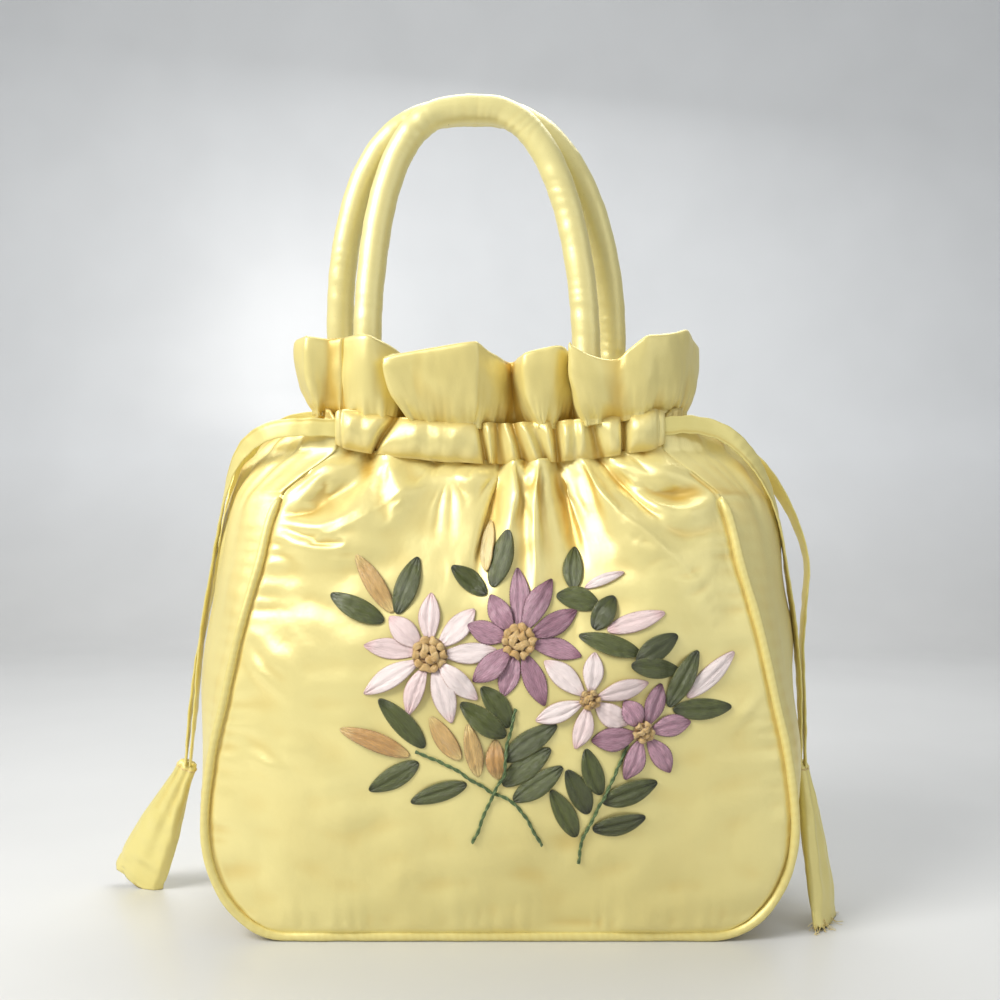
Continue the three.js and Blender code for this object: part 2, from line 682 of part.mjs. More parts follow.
// Single ribbon stitches: where each starts, as shares of the spray, the way it points, and its length
// as a share of a leaf's or a bud's.
const leaves = [
  { across: 0.131, up: 0.706, turn: 154, long: 1 },
  { across: 0.163, up: 0.728, turn: 71, long: 0.97 },
  { across: 0.381, up: 0.784, turn: 142, long: 0.74 },
  { across: 0.396, up: 0.806, turn: 74, long: 0.98 },
  { across: 0.596, up: 0.797, turn: 86, long: 0.7 },
  { across: 0.656, up: 0.754, turn: 168, long: 0.71 },
  { across: 0.642, up: 0.684, turn: 56, long: 0.64 },
  { across: 0.753, up: 0.614, turn: 164, long: 1.03 },
  { across: 0.742, up: 0.588, turn: 32, long: 0.82 },
  { across: 0.728, up: 0.58, turn: 353, long: 0.83 },
  { across: 0.821, up: 0.458, turn: 60, long: 1.03 },
  { across: 0.832, up: 0.449, turn: 1, long: 0.99 },
  { across: 0.235, up: 0.349, turn: 135, long: 1.06 },
  { across: 0.22, up: 0.305, turn: 210, long: 0.92 },
  { across: 0.335, up: 0.245, turn: 199, long: 0.95 },
  { across: 0.438, up: 0.406, turn: 126, long: 0.78 },
  { across: 0.428, up: 0.379, turn: 144, long: 0.9 },
  { across: 0.424, up: 0.31, turn: 34, long: 1.02 },
  { across: 0.421, up: 0.24, turn: 37, long: 0.96 },
  { across: 0.446, up: 0.197, turn: 34, long: 0.95 },
  { across: 0.624, up: 0.158, turn: 116, long: 0.78 },
  { across: 0.596, up: 0.088, turn: 118, long: 0.87 },
  { across: 0.653, up: 0.214, turn: 108, long: 0.76 },
  { across: 0.657, up: 0.192, turn: 18, long: 0.94 },
  { across: 0.635, up: 0.11, turn: 13, long: 0.87 },
];
const tanBuds = [
  { across: 0.152, up: 0.732, turn: 124, long: 1 },
  { across: 0.199, up: 0.323, turn: 160, long: 1.06 },
  { across: 0.32, up: 0.314, turn: 126, long: 0.73 },
  { across: 0.363, up: 0.266, turn: 102, long: 0.74 },
  { across: 0.41, up: 0.258, turn: 94, long: 0.55 },
  { across: 0.381, up: 0.85, turn: 85, long: 0.76 },
];
const pinkBuds = [
  { across: 0.624, up: 0.802, turn: 22, long: 0.62 },
  { across: 0.675, up: 0.68, turn: 17, long: 0.87 },
  { across: 0.868, up: 0.484, turn: 40, long: 0.96 },
];
const stems = [
  [[0.213, 0.336], [0.299, 0.292], [0.385, 0.227], [0.456, 0.179], [0.514, 0.062]],
  [[0.453, 0.458], [0.431, 0.353], [0.421, 0.266], [0.396, 0.21], [0.349, 0.07]],
  [[0.718, 0.353], [0.685, 0.266], [0.642, 0.162], [0.61, 0.075], [0.603, 0.005]],
];
const sprayPlace = (across, up) => ({
  x: sprayLeft + across * sprayWidth,
  z: sprayBottom + up * sprayHeight,
});

// A point that lies lift above the front panel.
function onPanel(x, z, lift) {
  const place = (px, pz) => {
    const u = px / outlineHalfWidth(pz, panelInset(pz));
    return frontPoint(clamp(u, -1, 1), pz);
  };
  const here = place(x, z);
  const right = place(x + 1, z).sub(here);
  const above = place(x, z + 1).sub(here);
  return here.addScaledVector(right.cross(above).normalize(), lift);
}

// The outline of one ribbon stitch, half its width at a share of its length.
const ribbonHalf = (t, wide) => (wide / 2) * (0.16 + 0.84 * Math.sin(Math.PI * t ** 0.85) ** 0.6);

// A row of places with half widths, along a single stitch or a stem.
function stitchTrack({ x, z, turn, length, wide, spans }) {
  return steps(spans).map((t) => ({
    x: x + Math.cos(degToRad(turn)) * length * t,
    z: z + Math.sin(degToRad(turn)) * length * t,
    half: ribbonHalf(t, wide),
  }));
}

function stemTrack(places) {
  const curve = new THREE.CatmullRomCurve3(
    places.map(([across, up]) => {
      const { x, z } = sprayPlace(across, up);
      return point(x, 0, z);
    }),
  );
  return steps(13).map((t) => {
    const p = curve.getPoint(t);
    return { x: p.x, z: p.z, half: stemWidth / 2 };
  });
}

// Places between two neighbours of a track, each with its own half width and lift.
function placesBetween(a, b) {
  return steps(4).map((t) => ({
    x: lerp(a.x, b.x, t),
    z: lerp(a.z, b.z, t),
    half: lerp(a.half, b.half, t),
    lift: lerp(a.lift ?? 0, b.lift ?? 0, t),
  }));
}

// How high a place must lie to clear all that is sewn under it.
function liftOver(places, sewn) {
  let top = 0;
  for (const place of places) {
    for (const below of sewn) {
      const apart = Math.hypot(place.x - below.x, place.z - below.z);
      if (apart < place.half + below.half + seamGap) top = Math.max(top, below.top);
    }
  }
  return top + seamGap;
}

function liftTrack(track, sewn) {
  const spans = track.slice(1).map((next, i) => liftOver(placesBetween(track[i], next), sewn));
  return track.map((place, i) => ({
    ...place,
    lift: Math.max(spans[Math.max(i - 1, 0)], spans[Math.min(i, spans.length - 1)]),
  }));
}

function ribbonSolid(track) {
  return bar(
    track.map(({ x, z, half, lift }, i) => {
      const ahead = track[Math.min(i + 1, track.length - 1)];
      const behind = track[Math.max(i - 1, 0)];
      const length = Math.hypot(ahead.x - behind.x, ahead.z - behind.z);
      const sideX = (-(ahead.z - behind.z) / length) * half;
      const sideZ = ((ahead.x - behind.x) / length) * half;
      return [
        onPanel(x, z, lift),
        onPanel(x + sideX, z + sideZ, lift + ribbonThickness * 0.35),
        onPanel(x, z, lift + ribbonThickness),
        onPanel(x - sideX, z - sideZ, lift + ribbonThickness * 0.35),
      ];
    }),
  );
}

// The knots in a flower's middle, as one low dome.
function flowerEye({ x, z, half, lift }) {
  const ring = (share, height) =>
    steps(9)
      .slice(0, -1)
      .map((t) => {
        const angle = t * 2 * Math.PI;
        const reach = share * half;
        const place = [x + reach * Math.cos(angle), z + reach * Math.sin(angle)];
        return onPanel(...place, lift + height * ribbonThickness);
      });
  return bar([ring(0.96, 0), ring(1, 0.6), ring(0.8, 1.9), ring(0.4, 2.5)]);
}

// Sews one thing on over the rest and keeps note of the places that it covers.
function sewOn(tracks, eye, sewn) {
  let raised = tracks.map((track) => liftTrack(track, sewn));
  const parts = [];
  if (eye) {
    const lift = Math.max(liftOver([eye], sewn), ...raised.map((track) => track[0].lift));
    const hidden = lift + 0.4 * ribbonThickness;
    raised = raised.map(([first, ...rest]) => [{ ...first, lift: hidden }, ...rest]);
    parts.push(flowerEye({ ...eye, lift }));
    sewn.push({ ...eye, top: lift + 2.5 * ribbonThickness });
  }
  for (const track of raised) {
    parts.unshift(ribbonSolid(track));
    track.slice(1).forEach((next, i) => {
      for (const place of placesBetween(track[i], next)) {
        sewn.push({ ...place, top: place.lift + ribbonThickness });
      }
    });
  }
  return parts.length > 1 ? joined(parts) : parts[0];
}

// Every sewn thing in the order of sewing.
function embroidery() {
  const sewn = [];
  const pieces = [];
  const sewSingles = (rows, name, fullLength, wide, colour) => {
    rows.forEach(({ across, up, turn, long }, i) => {
      const length = long * fullLength;
      const track = stitchTrack({ ...sprayPlace(across, up), turn, length, wide, spans: 4 });
      pieces.push({ name: `${name}_${i + 1}`, colour, geometry: sewOn([track], null, sewn) });
    });
  };
  sewSingles(leaves, "leaf", leafLength, leafWidth, "leafGreen");
  sewSingles(tanBuds, "tan_bud", budLength, budWidth, "tan");
  sewSingles(pinkBuds, "pink_bud", budLength, budWidth, "palePink");
  stems.forEach((places, i) => {
    const geometry = sewOn([stemTrack(places)], null, sewn);
    pieces.push({ name: `stem_${i + 1}`, colour: "stemGreen", geometry });
  });
  for (const [name, { across, up, eye, petals }] of Object.entries(flowers)) {
    const centre = sprayPlace(across, up);
    const start = 0.55 * eye * petalLength;
    const tracks = petals.map(([turn, reach]) =>
      stitchTrack({
        x: centre.x + Math.cos(degToRad(turn)) * start,
        z: centre.z + Math.sin(degToRad(turn)) * start,
        turn,
        length: reach * petalLength - start,
        wide: petalWidth,
        spans: 3,
      }),
    );
    const geometry = sewOn(tracks, { ...centre, half: eye * petalLength }, sewn);
    pieces.push({ name, colour: name.includes("mauve") ? "mauve" : "palePink", geometry });
  }
  return pieces;
}

// Colours

const finish = (color, roughness) => new THREE.MeshStandardMaterial({ color, roughness, metalness: 0 });
const materials = {
  satin: finish(0xefe08f, 0.38),
  piping: finish(0xe6d27a, 0.42),
  leafGreen: finish(0x4f6b35, 0.5),
  stemGreen: finish(0x5d8a4a, 0.6),
  tan: finish(0xd6a468, 0.5),
  palePink: finish(0xf3e4ea, 0.45),
  mauve: finish(0xb489a6, 0.45),
};

const group = new THREE.Group();

function add(name, geometry, material) {
  const mesh = new THREE.Mesh(geometry, material);
  mesh.name = name;
  group.add(mesh);
}

add("front_panel", panel(true, 18), materials.satin);
add("back_panel", panel(false, 14), materials.satin);
add("gusset", gusset(), materials.satin);
add("piping_front", piping(true), materials.piping);
add("piping_back", piping(false), materials.piping);
add("casing_front", casing(true), materials.satin);
add("casing_back", casing(false), materials.satin);
add("ruffle", ruffle(), materials.satin);
for (const [name, sizes] of Object.entries(handles)) add(name, handle(sizes), materials.satin);
for (const [name, route] of Object.entries(drawstrings)) {
  add(name, drawstring(route), materials.satin);
}
for (const [name, sizes] of Object.entries(tieEnds)) add(name, tieEnd(sizes), materials.satin);
for (const { name, geometry, colour } of embroidery()) add(name, geometry, materials[colour]);

export default group;
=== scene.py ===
import bpy
import numpy as np
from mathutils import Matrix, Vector
from mathutils.bvhtree import BVHTree


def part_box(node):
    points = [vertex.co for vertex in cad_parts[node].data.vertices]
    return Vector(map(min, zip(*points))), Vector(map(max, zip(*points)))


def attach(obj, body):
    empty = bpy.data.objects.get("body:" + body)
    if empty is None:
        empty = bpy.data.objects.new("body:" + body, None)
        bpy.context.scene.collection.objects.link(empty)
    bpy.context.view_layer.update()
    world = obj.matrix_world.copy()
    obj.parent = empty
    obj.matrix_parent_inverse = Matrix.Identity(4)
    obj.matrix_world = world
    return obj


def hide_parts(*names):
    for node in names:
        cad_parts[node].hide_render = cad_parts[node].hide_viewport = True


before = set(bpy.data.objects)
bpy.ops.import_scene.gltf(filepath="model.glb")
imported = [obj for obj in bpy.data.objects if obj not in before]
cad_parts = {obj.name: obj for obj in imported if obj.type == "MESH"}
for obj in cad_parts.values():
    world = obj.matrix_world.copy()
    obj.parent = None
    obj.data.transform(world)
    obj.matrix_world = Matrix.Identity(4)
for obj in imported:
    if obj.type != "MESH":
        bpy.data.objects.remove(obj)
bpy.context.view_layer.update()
print("frame loaded with", len(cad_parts), "parts")

# Shapes are worked out in millimetres and turned to metres when a piece is made.

# ---- camera, floor and light

photoView = {"place": (0.0, -0.418, 0.154), "pitch": 91.1, "lens": 36.9}
studio = {
    "floorColour": (0.60, 0.605, 0.60, 1), "floorGloss": 0.3, "floorFront": -2.2, "floorHalf": 2.6,
    "wallColour": (0.80, 0.82, 0.84, 1), "wallDistance": 1.1, "wallBend": 0.35, "wallHeight": 2.4,
    "skyColour": (0.97, 0.985, 1.0, 1), "skyStrength": 0.37, "lightTarget": (0.0, 0.0, 0.14),
}
# where each light stands, its size, power and colour
lights = {
    "windowLight": ((-0.66, -0.50, 0.76), (0.42, 0.60), 12.0, (1, 0.98, 0.95)),
    "fillLight": ((0.85, -0.62, 0.40), (0.45, 0.9), 1.7, (0.96, 0.98, 1)),
    "topLight": ((0.10, 0.45, 1.10), (0.9, 0.6), 8.0, (1, 1, 1)),
}


def nodeIn(mat, kind, inputs=(), **settings):
    node = mat.node_tree.nodes.new("ShaderNode" + kind)
    for key, value in settings.items():
        setattr(node, key, value)
    for key, value in dict(inputs).items():
        if isinstance(value, bpy.types.NodeSocket):
            mat.node_tree.links.new(value, node.inputs[key])
        else:
            node.inputs[key].default_value = value
    return node


def newMaterial(name, shaderValues):
    mat = bpy.data.materials.new(name)
    mat.use_nodes = True
    mat.node_tree.nodes.clear()
    shader = nodeIn(mat, "BsdfPrincipled", shaderValues)
    out = nodeIn(mat, "OutputMaterial")
    mat.node_tree.links.new(shader.outputs[0], out.inputs[0])
    return mat, shader


def wire(mat, source, target):
    mat.node_tree.links.new(source, target)


def mixed(mat, share, first, second, blend="MIX"):
    node = nodeIn(mat, "Mix", {0: share, 6: first, 7: second}, data_type="RGBA", blend_type=blend)
    return node.outputs[2]


def ranged(mat, value, low, high, start=0.0, end=1.0):
    names = {"Value": value, "From Min": low, "From Max": high, "To Min": start, "To Max": end}
    return nodeIn(mat, "MapRange", names).outputs[0]


def maths(mat, operation, first, second=0.0):
    return nodeIn(mat, "Math", {0: first, 1: second}, operation=operation).outputs[0]


def sine(mat, value, turns):
    return maths(mat, "SINE", maths(mat, "MULTIPLY", value, 2 * np.pi * turns))


def grey(mat, value):
    return nodeIn(mat, "CombineColor", {0: value, 1: value, 2: value}).outputs[0]


def mark(mat, name):
    return nodeIn(mat, "Attribute", attribute_name=name).outputs["Fac"]


def stretched(mat, coords, scale):
    return nodeIn(mat, "Mapping", {"Vector": coords, "Scale": scale}).outputs[0]


def clouds(mat, coords, scale, detail=2.0, rough=0.5):
    names = {"Vector": coords, "Scale": scale, "Detail": detail, "Roughness": rough}
    return nodeIn(mat, "TexNoise", names).outputs["Fac"]


def bumped(mat, height, distance, under=None):
    names = {"Height": height, "Distance": distance, "Strength": 1.0}
    if under is not None:
        names["Normal"] = under
    return nodeIn(mat, "Bump", names).outputs[0]


def areaLight(name, place, size, power, colour):
    lamp = bpy.data.lights.new(name, "AREA")
    lamp.shape = "RECTANGLE"
    lamp.size, lamp.size_y = size
    lamp.energy = power
    lamp.color = colour
    piece = bpy.data.objects.new(name, lamp)
    piece.location = place
    away = Vector(studio["lightTarget"]) - Vector(place)
    piece.rotation_euler = away.to_track_quat("-Z", "Y").to_euler()
    bpy.context.collection.objects.link(piece)


def makeStudio():
    camera = bpy.data.objects.new("photoCamera", bpy.data.cameras.new("photoCamera"))
    camera.location = photoView["place"]
    camera.rotation_euler = (np.radians(photoView["pitch"]), 0, 0)
    camera.data.lens = photoView["lens"]
    camera.data.clip_start = 0.01
    bpy.context.collection.objects.link(camera)
    bpy.context.scene.camera = camera

    # floor that turns up into the wall on one smooth curve
    reach, bend, half = studio["wallDistance"], studio["wallBend"], studio["floorHalf"]
    profile = [(studio["floorFront"], 0.0), (reach - bend, 0.0)]
    for angle in np.linspace(0, np.pi / 2, 14)[1:]:
        profile.append((reach - bend + bend * np.sin(angle), bend - bend * np.cos(angle)))
    profile.append((reach, studio["wallHeight"]))
    verts = [(x, y, z) for y, z in profile for x in (-half, half)]
    faces = [(2 * i, 2 * i + 1, 2 * i + 3, 2 * i + 2) for i in range(len(profile) - 1)]
    mesh = bpy.data.meshes.new("paleFloor")
    mesh.from_pydata(verts, [], faces)
    mesh.shade_smooth()
    floor = bpy.data.objects.new("paleFloor", mesh)
    bpy.context.collection.objects.link(floor)
    mat, shader = newMaterial("paleFloor", {"Roughness": studio["floorGloss"]})
    coords = nodeIn(mat, "TexCoord").outputs["Object"]
    blend = ranged(mat, nodeIn(mat, "SeparateXYZ", {0: coords}).outputs["Z"], 0.0, 0.25)
    plain = mixed(mat, blend, studio["floorColour"], studio["wallColour"])
    faint = grey(mat, ranged(mat, clouds(mat, coords, 9.0), 0.3, 0.7, 0.96, 1.0))
    wire(mat, mixed(mat, 1.0, plain, faint, "MULTIPLY"), shader.inputs["Base Color"])
    mesh.materials.append(mat)

    world = bpy.data.worlds.new("softRoom")
    world.use_nodes = True
    background = world.node_tree.nodes["Background"]
    background.inputs[0].default_value = studio["skyColour"]
    background.inputs[1].default_value = studio["skyStrength"]
    bpy.context.scene.world = world
    for name, values in lights.items():
        areaLight(name, *values)
    bpy.context.scene.view_settings.view_transform = "Standard"
    print("studio ready")


makeStudio()

# ---- smooth curves, noise and meshes


def smooth(value, low, high):
    t = np.clip((value - low) / (high - low), 0, 1)
    return t * t * (3 - 2 * t)


def hump(value, middle, width):
    return np.exp(-(((value - middle) / width) ** 2))


def smoothPath(points, count):
    # places on one smooth curve through the points, or through the rows of a grid
    points = np.asarray(points, float)
    padded = np.concatenate([2 * points[:1] - points[1:2], points, 2 * points[-1:] - points[-2:-1]])
    at = np.linspace(0, len(points) - 1, count)
    i = np.minimum(at.astype(int), len(points) - 2)
    t = (at - i).reshape(-1, *[1] * (points.ndim - 1))
    a, b, c, d = (padded[i + k] for k in range(4))
    return 0.5 * (2 * b + (c - a) * t + (2 * a - 5 * b + 4 * c - d) * t**2 + (3 * b - a - 3 * c + d) * t**3)


def distanceAlong(line):
    return np.r_[0, np.cumsum(np.linalg.norm(np.diff(line, axis=0), axis=1))]


def evenly(line, count):
    steps = distanceAlong(line)
    at = np.linspace(0, steps[-1], count)
    return np.stack([np.interp(at, steps, line[:, k]) for k in range(line.shape[1])], 1)


def ripples(seed, pitch, *coords, waves=14, spread=0.5):
    rng = np.random.default_rng(seed)
    total = 0.0
    for _ in range(waves):
        way = rng.normal(size=len(coords))
        way /= np.linalg.norm(way)
        here = pitch * rng.uniform(1 - spread, 1 + spread)
        run = sum(w * c for w, c in zip(way, coords)) / here
        total = total + np.sin(2 * np.pi * run + rng.uniform(0, 6.28))
    return total / np.sqrt(waves)


def gridQuads(rows, cols, closed=False):
    i = np.arange(rows - 1)[:, None]
    j = np.arange(cols if closed else cols - 1)[None, :]
    k = (j + 1) % cols
    corners = [i * cols + j, i * cols + k, (i + 1) * cols + k, (i + 1) * cols + j]
    return np.stack(corners, -1).reshape(-1, 4)


def clothMesh(outer, inner, closed=False):
    # two layers of the same grid, joined along their borders
    rows, cols = outer.shape[:2]
    count = rows * cols
    index = np.arange(count).reshape(rows, cols)
    front = gridQuads(rows, cols, closed)
    loops = [np.r_[index[0], index[1:, -1], index[-1, -2::-1], index[-2::-1, 0]]]
    if closed:
        loops = [np.r_[index[0], index[0, 0]], np.r_[index[-1, 0], index[-1, ::-1]]]
    rims = [np.stack([l[1:], l[:-1], l[:-1] + count, l[1:] + count], 1) for l in loops]
    faces = np.vstack([front, front[:, ::-1] + count, *rims])
    return np.vstack([outer.reshape(-1, 3), inner.reshape(-1, 3)]), faces.tolist()


def tubeMesh(rings):
    count, sides = rings.shape[:2]
    faces = gridQuads(count, sides, True).tolist()
    faces.append(list(range(sides))[::-1])
    faces.append(list(range((count - 1) * sides, count * sides)))
    return rings.reshape(-1, 3), faces


def turnedOut(verts, faces):
    total = 0.0
    for size in {len(f) for f in faces}:
        group = verts[np.array([f for f in faces if len(f) == size])]
        for k in range(1, size - 1):
            total += np.einsum("ij,ij->", group[:, 0], np.cross(group[:, k], group[:, k + 1]))
    return faces if total > 0 else [f[::-1] for f in faces]


def joinedMeshes(meshes):
    verts, faces, start = [], [], 0
    for some, its in meshes:
        faces += [[i + start for i in f] for f in turnedOut(some, its)]
        verts.append(some)
        start += len(some)
    return np.vstack(verts), faces


def makePiece(name, mesh, material, nodes, weave=None, marks=()):
    verts, faces = mesh
    faces = turnedOut(verts, faces)
    data = bpy.data.meshes.new(name)
    data.from_pydata((verts * 0.001).tolist(), [], faces)
    data.shade_smooth()
    if weave is not None:
        # thread directions, in centimetres of cloth; a face that closes a ring goes on past its end
        corners = np.empty(len(data.loops), int)
        data.loops.foreach_get("vertex_index", corners)
        uv = weave[corners] * 0.1
        starts = np.empty(len(data.polygons), int)
        data.polygons.foreach_get("loop_start", starts)
        ends = np.r_[starts[1:], len(uv)]
        for axis in (0, 1):
            full = np.ptp(weave[:, axis]) * 0.1
            high = np.repeat(np.maximum.reduceat(uv[:, axis], starts), ends - starts)
            far = high - uv[:, axis] > 0.6 * full
            uv[far, axis] += full
        layer = data.uv_layers.new(name="weave")
        layer.data.foreach_set("uv", uv.astype(np.float32).ravel())
    for key, values in dict(marks).items():
        data.attributes.new(key, "FLOAT", "POINT").data.foreach_set("value", np.asarray(values, np.float32))
    data.materials.append(material)
    piece = bpy.data.objects.new(name, data)
    bpy.context.collection.objects.link(piece)
    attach(piece, "root")
    if nodes:
        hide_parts(*nodes)
    return piece


def both(values):
    return np.r_[values.ravel(), values.ravel()]


def weaveOf(across, along):
    return np.tile(np.stack([across.ravel(), along.ravel()], 1), (2, 1))


def ringWeave(around, along):
    # thread directions of a tube: round it, and along it
    around, along = np.broadcast_arrays(around, np.asarray(along)[:, None])
    return np.stack([around.ravel(), along.ravel()], 1)


def turnsRound(sides):
    return np.arange(sides) / sides * 2 * np.pi


def roundSection(radius, sides):
    return np.stack([np.cos(turnsRound(sides)), np.sin(turnsRound(sides))], 1) * radius


def ringsAlong(line, facing, section):
    along = np.gradient(line, axis=0)
    along /= np.linalg.norm(along, axis=1)[:, None]
    out = facing - (facing * along).sum(1)[:, None] * along
    out /= np.linalg.norm(out, axis=1)[:, None]
    across = np.cross(along, out)
    return line[:, None] + section[..., :1] * across[:, None] + section[..., 1:] * out[:, None]


# ---- finishes

satinLook = {
    "pale": (0.85, 0.75, 0.315),
    # the golden of the painted shade in the folds, and of the uneven patches
    "shadeAndPatchGolden": (0.67, 0.435, 0.075),
    "roughness": 0.33,
    "metal": 0.27,
    "specular": 0.80,
    "sheen": 0.12,
    "sheenRoughness": 0.35,
    "sheenTint": (1.0, 0.96, 0.72, 1),
    "anisotropy": 0.6,
    "threadPitch": 0.00028,
    "threadBump": 0.000005,
    "slubBump": 0.000018,
    "crumpleBump": 0.00045,
}


def satinMaterial(name, pale, shadeAndPatchGolden, roughness, crumple):
    mat, shader = newMaterial(name, {
        "Roughness": roughness, "Metallic": satinLook["metal"], "Specular IOR Level": satinLook["specular"],
        "Sheen Weight": satinLook["sheen"], "Sheen Roughness": satinLook["sheenRoughness"],
        "Sheen Tint": satinLook["sheenTint"], "Anisotropic": satinLook["anisotropy"]})
    threads = nodeIn(mat, "UVMap", uv_map="weave").outputs[0]
    solid = nodeIn(mat, "TexCoord").outputs["Object"]
    slubs = clouds(mat, stretched(mat, threads, (7.0, 0.9, 1.0)), 6.0, 3.0, 0.6)
    fine = clouds(mat, stretched(mat, threads, (60.0, 5.0, 1.0)), 5.0, 2.0, 0.6)
    patches = clouds(mat, solid, 22.0, 3.0, 0.55)
    crumples = clouds(mat, solid, 70.0, 3.0, 0.5)
    # colour: pale where the cloth stands up, golden painted shade in the folds from the fold mark, a little
    # uneven in patches and thread by thread
    fold = ranged(mat, mark(mat, "fold"), 0.0, 1.0, 0.0, 0.85)
    patchy = ranged(mat, patches, 0.35, 0.75, 0.0, 0.14)
    deep = nodeIn(mat, "Math", {0: fold, 1: patchy}, operation="ADD", use_clamp=True).outputs[0]
    colour = mixed(mat, deep, (*pale, 1), (*shadeAndPatchGolden, 1))
    grain = ranged(mat, fine, 0.3, 0.7, 0.94, 1.04)
    wire(mat, mixed(mat, 1.0, colour, grey(mat, grain), "MULTIPLY"), shader.inputs["Base Color"])
    uneven = ranged(mat, slubs, 0.3, 0.7, roughness - 0.05, roughness + 0.07)
    wire(mat, uneven, shader.inputs["Roughness"])
    parts = nodeIn(mat, "SeparateXYZ", {0: threads})
    warp = sine(mat, parts.outputs["X"], 0.01 / satinLook["threadPitch"])
    normal = bumped(mat, crumples, satinLook["crumpleBump"] * crumple)
    normal = bumped(mat, slubs, satinLook["slubBump"], under=normal)
    normal = bumped(mat, warp, satinLook["threadBump"], under=normal)
    wire(mat, normal, shader.inputs["Normal"])
    tangent = nodeIn(mat, "Tangent", direction_type="UV_MAP", uv_map="weave").outputs[0]
    wire(mat, tangent, shader.inputs["Tangent"])
    return mat


ribbonLook = {
    "specular": 0.85, "sheenRoughness": 0.4, "anisotropy": 0.55, "loopPitch": 0.092, "weftPitch": 0.034,
    "streakBump": 0.0004, "weftBump": 0.000014, "fineBump": 0.00003, "edgeBump": 0.00012,
}


def ribbonMaterial(name, middle, tip, edge, roughness, sheenBands=0.25, sheen=0.45, sparkle=(1, 1, 1)):
    mat, shader = newMaterial(name, {
        "Roughness": roughness, "Specular IOR Level": ribbonLook["specular"], "Sheen Weight": sheen,
        "Sheen Roughness": ribbonLook["sheenRoughness"], "Sheen Tint": (*sparkle, 1),
        "Anisotropic": ribbonLook["anisotropy"]})
    threads = nodeIn(mat, "UVMap", uv_map="weave").outputs[0]
    parts = nodeIn(mat, "SeparateXYZ", {0: threads})
    across, along, tint = mark(mat, "across"), mark(mat, "along"), mark(mat, "tint")
    streaks = clouds(mat, stretched(mat, threads, (9.0, 0.8, 1.0)), 5.0, 3.0, 0.6)
    fine = clouds(mat, stretched(mat, threads, (50.0, 8.0, 1.0)), 6.0, 2.0, 0.6)
    ends = maths(mat, "ABSOLUTE", maths(mat, "SUBTRACT", maths(mat, "MULTIPLY", along, 2.0), 1.0))
    faded = ranged(mat, ends, 0.55, 1.0, 0.0, 0.75)
    toTip = nodeIn(mat, "Math", {0: faded, 1: tint}, operation="ADD", use_clamp=True).outputs[0]
    colour = mixed(mat, toTip, (*middle, 1), (*tip, 1))
    # painted sheen and shade: lengthwise bands make the ribbon's colour lighter and darker
    shade = grey(mat, ranged(mat, streaks, 0.3, 0.7, 1.0 - sheenBands, 1.0 + 0.5 * sheenBands))
    colour = mixed(mat, 1.0, colour, shade, "MULTIPLY")
    # the woven edge: a thin line with a loop of thread every millimetre
    loops = sine(mat, parts.outputs["Y"], 1 / ribbonLook["loopPitch"])
    rim = ranged(mat, maths(mat, "ABSOLUTE", across), 0.89, 0.97)
    dots = ranged(mat, loops, -0.3, 0.5, 0.45, 1.0)
    colour = mixed(mat, maths(mat, "MULTIPLY", rim, dots), colour, (*edge, 1))
    wire(mat, colour, shader.inputs["Base Color"])
    weft = sine(mat, parts.outputs["X"], 1 / ribbonLook["weftPitch"])
    normal = bumped(mat, streaks, ribbonLook["streakBump"])
    normal = bumped(mat, weft, ribbonLook["weftBump"], under=normal)
    normal = bumped(mat, fine, ribbonLook["fineBump"], under=normal)
    normal = bumped(mat, maths(mat, "MULTIPLY", rim, loops), ribbonLook["edgeBump"], under=normal)
    wire(mat, normal, shader.inputs["Normal"])
    return mat


def threadMaterial(name, dark, light):
    mat, shader = newMaterial(name, {"Roughness": 0.5, "Sheen Weight": 0.3})
    solid = nodeIn(mat, "TexCoord").outputs["Object"]
    flecks = clouds(mat, solid, 1400.0, 2.0, 0.6)
    wire(mat, mixed(mat, ranged(mat, flecks, 0.35, 0.7), (*dark, 1), (*light, 1)), shader.inputs["Base Color"])
    wire(mat, bumped(mat, flecks, 0.00012), shader.inputs["Normal"])
    return mat


# each satin's second colour is the golden painted shade of its folds
bodySatin = satinMaterial("bodySatin", satinLook["pale"], satinLook["shadeAndPatchGolden"], satinLook["roughness"], 1.0)
ruffleSatin = satinMaterial("ruffleSatin", (0.84, 0.725, 0.28), (0.66, 0.43, 0.065), 0.34, 0.4)
pipingSatin = satinMaterial("pipingSatin", (0.84, 0.74, 0.29), (0.62, 0.43, 0.07), 0.42, 0.2)
handleSatin = satinMaterial("handleSatin", (0.85, 0.765, 0.34), (0.68, 0.48, 0.10), 0.32, 0.22)
strapSatin = satinMaterial("strapSatin", (0.83, 0.73, 0.27), (0.64, 0.45, 0.07), 0.38, 0.5)
leafRibbon = ribbonMaterial("leafRibbon", (0.098, 0.120, 0.020), (0.028, 0.034, 0.008), (0.20, 0.20, 0.06),
                            0.32, 0.6, 0.05, (0.85, 0.9, 0.45))
tanRibbon = ribbonMaterial("tanRibbon", (0.60, 0.33, 0.10), (0.82, 0.62, 0.24), (0.40, 0.19, 0.04), 0.34, 0.35)
clearRibbon = ribbonMaterial("clearRibbon", (0.84, 0.70, 0.34), (0.80, 0.60, 0.22), (0.50, 0.27, 0.05), 0.34,
                             0.2)
paleRibbon = ribbonMaterial("paleRibbon", (0.93, 0.805, 0.775), (0.80, 0.55, 0.54), (0.62, 0.40, 0.33), 0.30,
                            0.10, 0.1)
mauveRibbon = ribbonMaterial("mauveRibbon", (0.55, 0.30, 0.38), (0.21, 0.075, 0.12), (0.15, 0.06, 0.08), 0.25,
                             0.5, 0.3, (1.0, 0.92, 1.0))
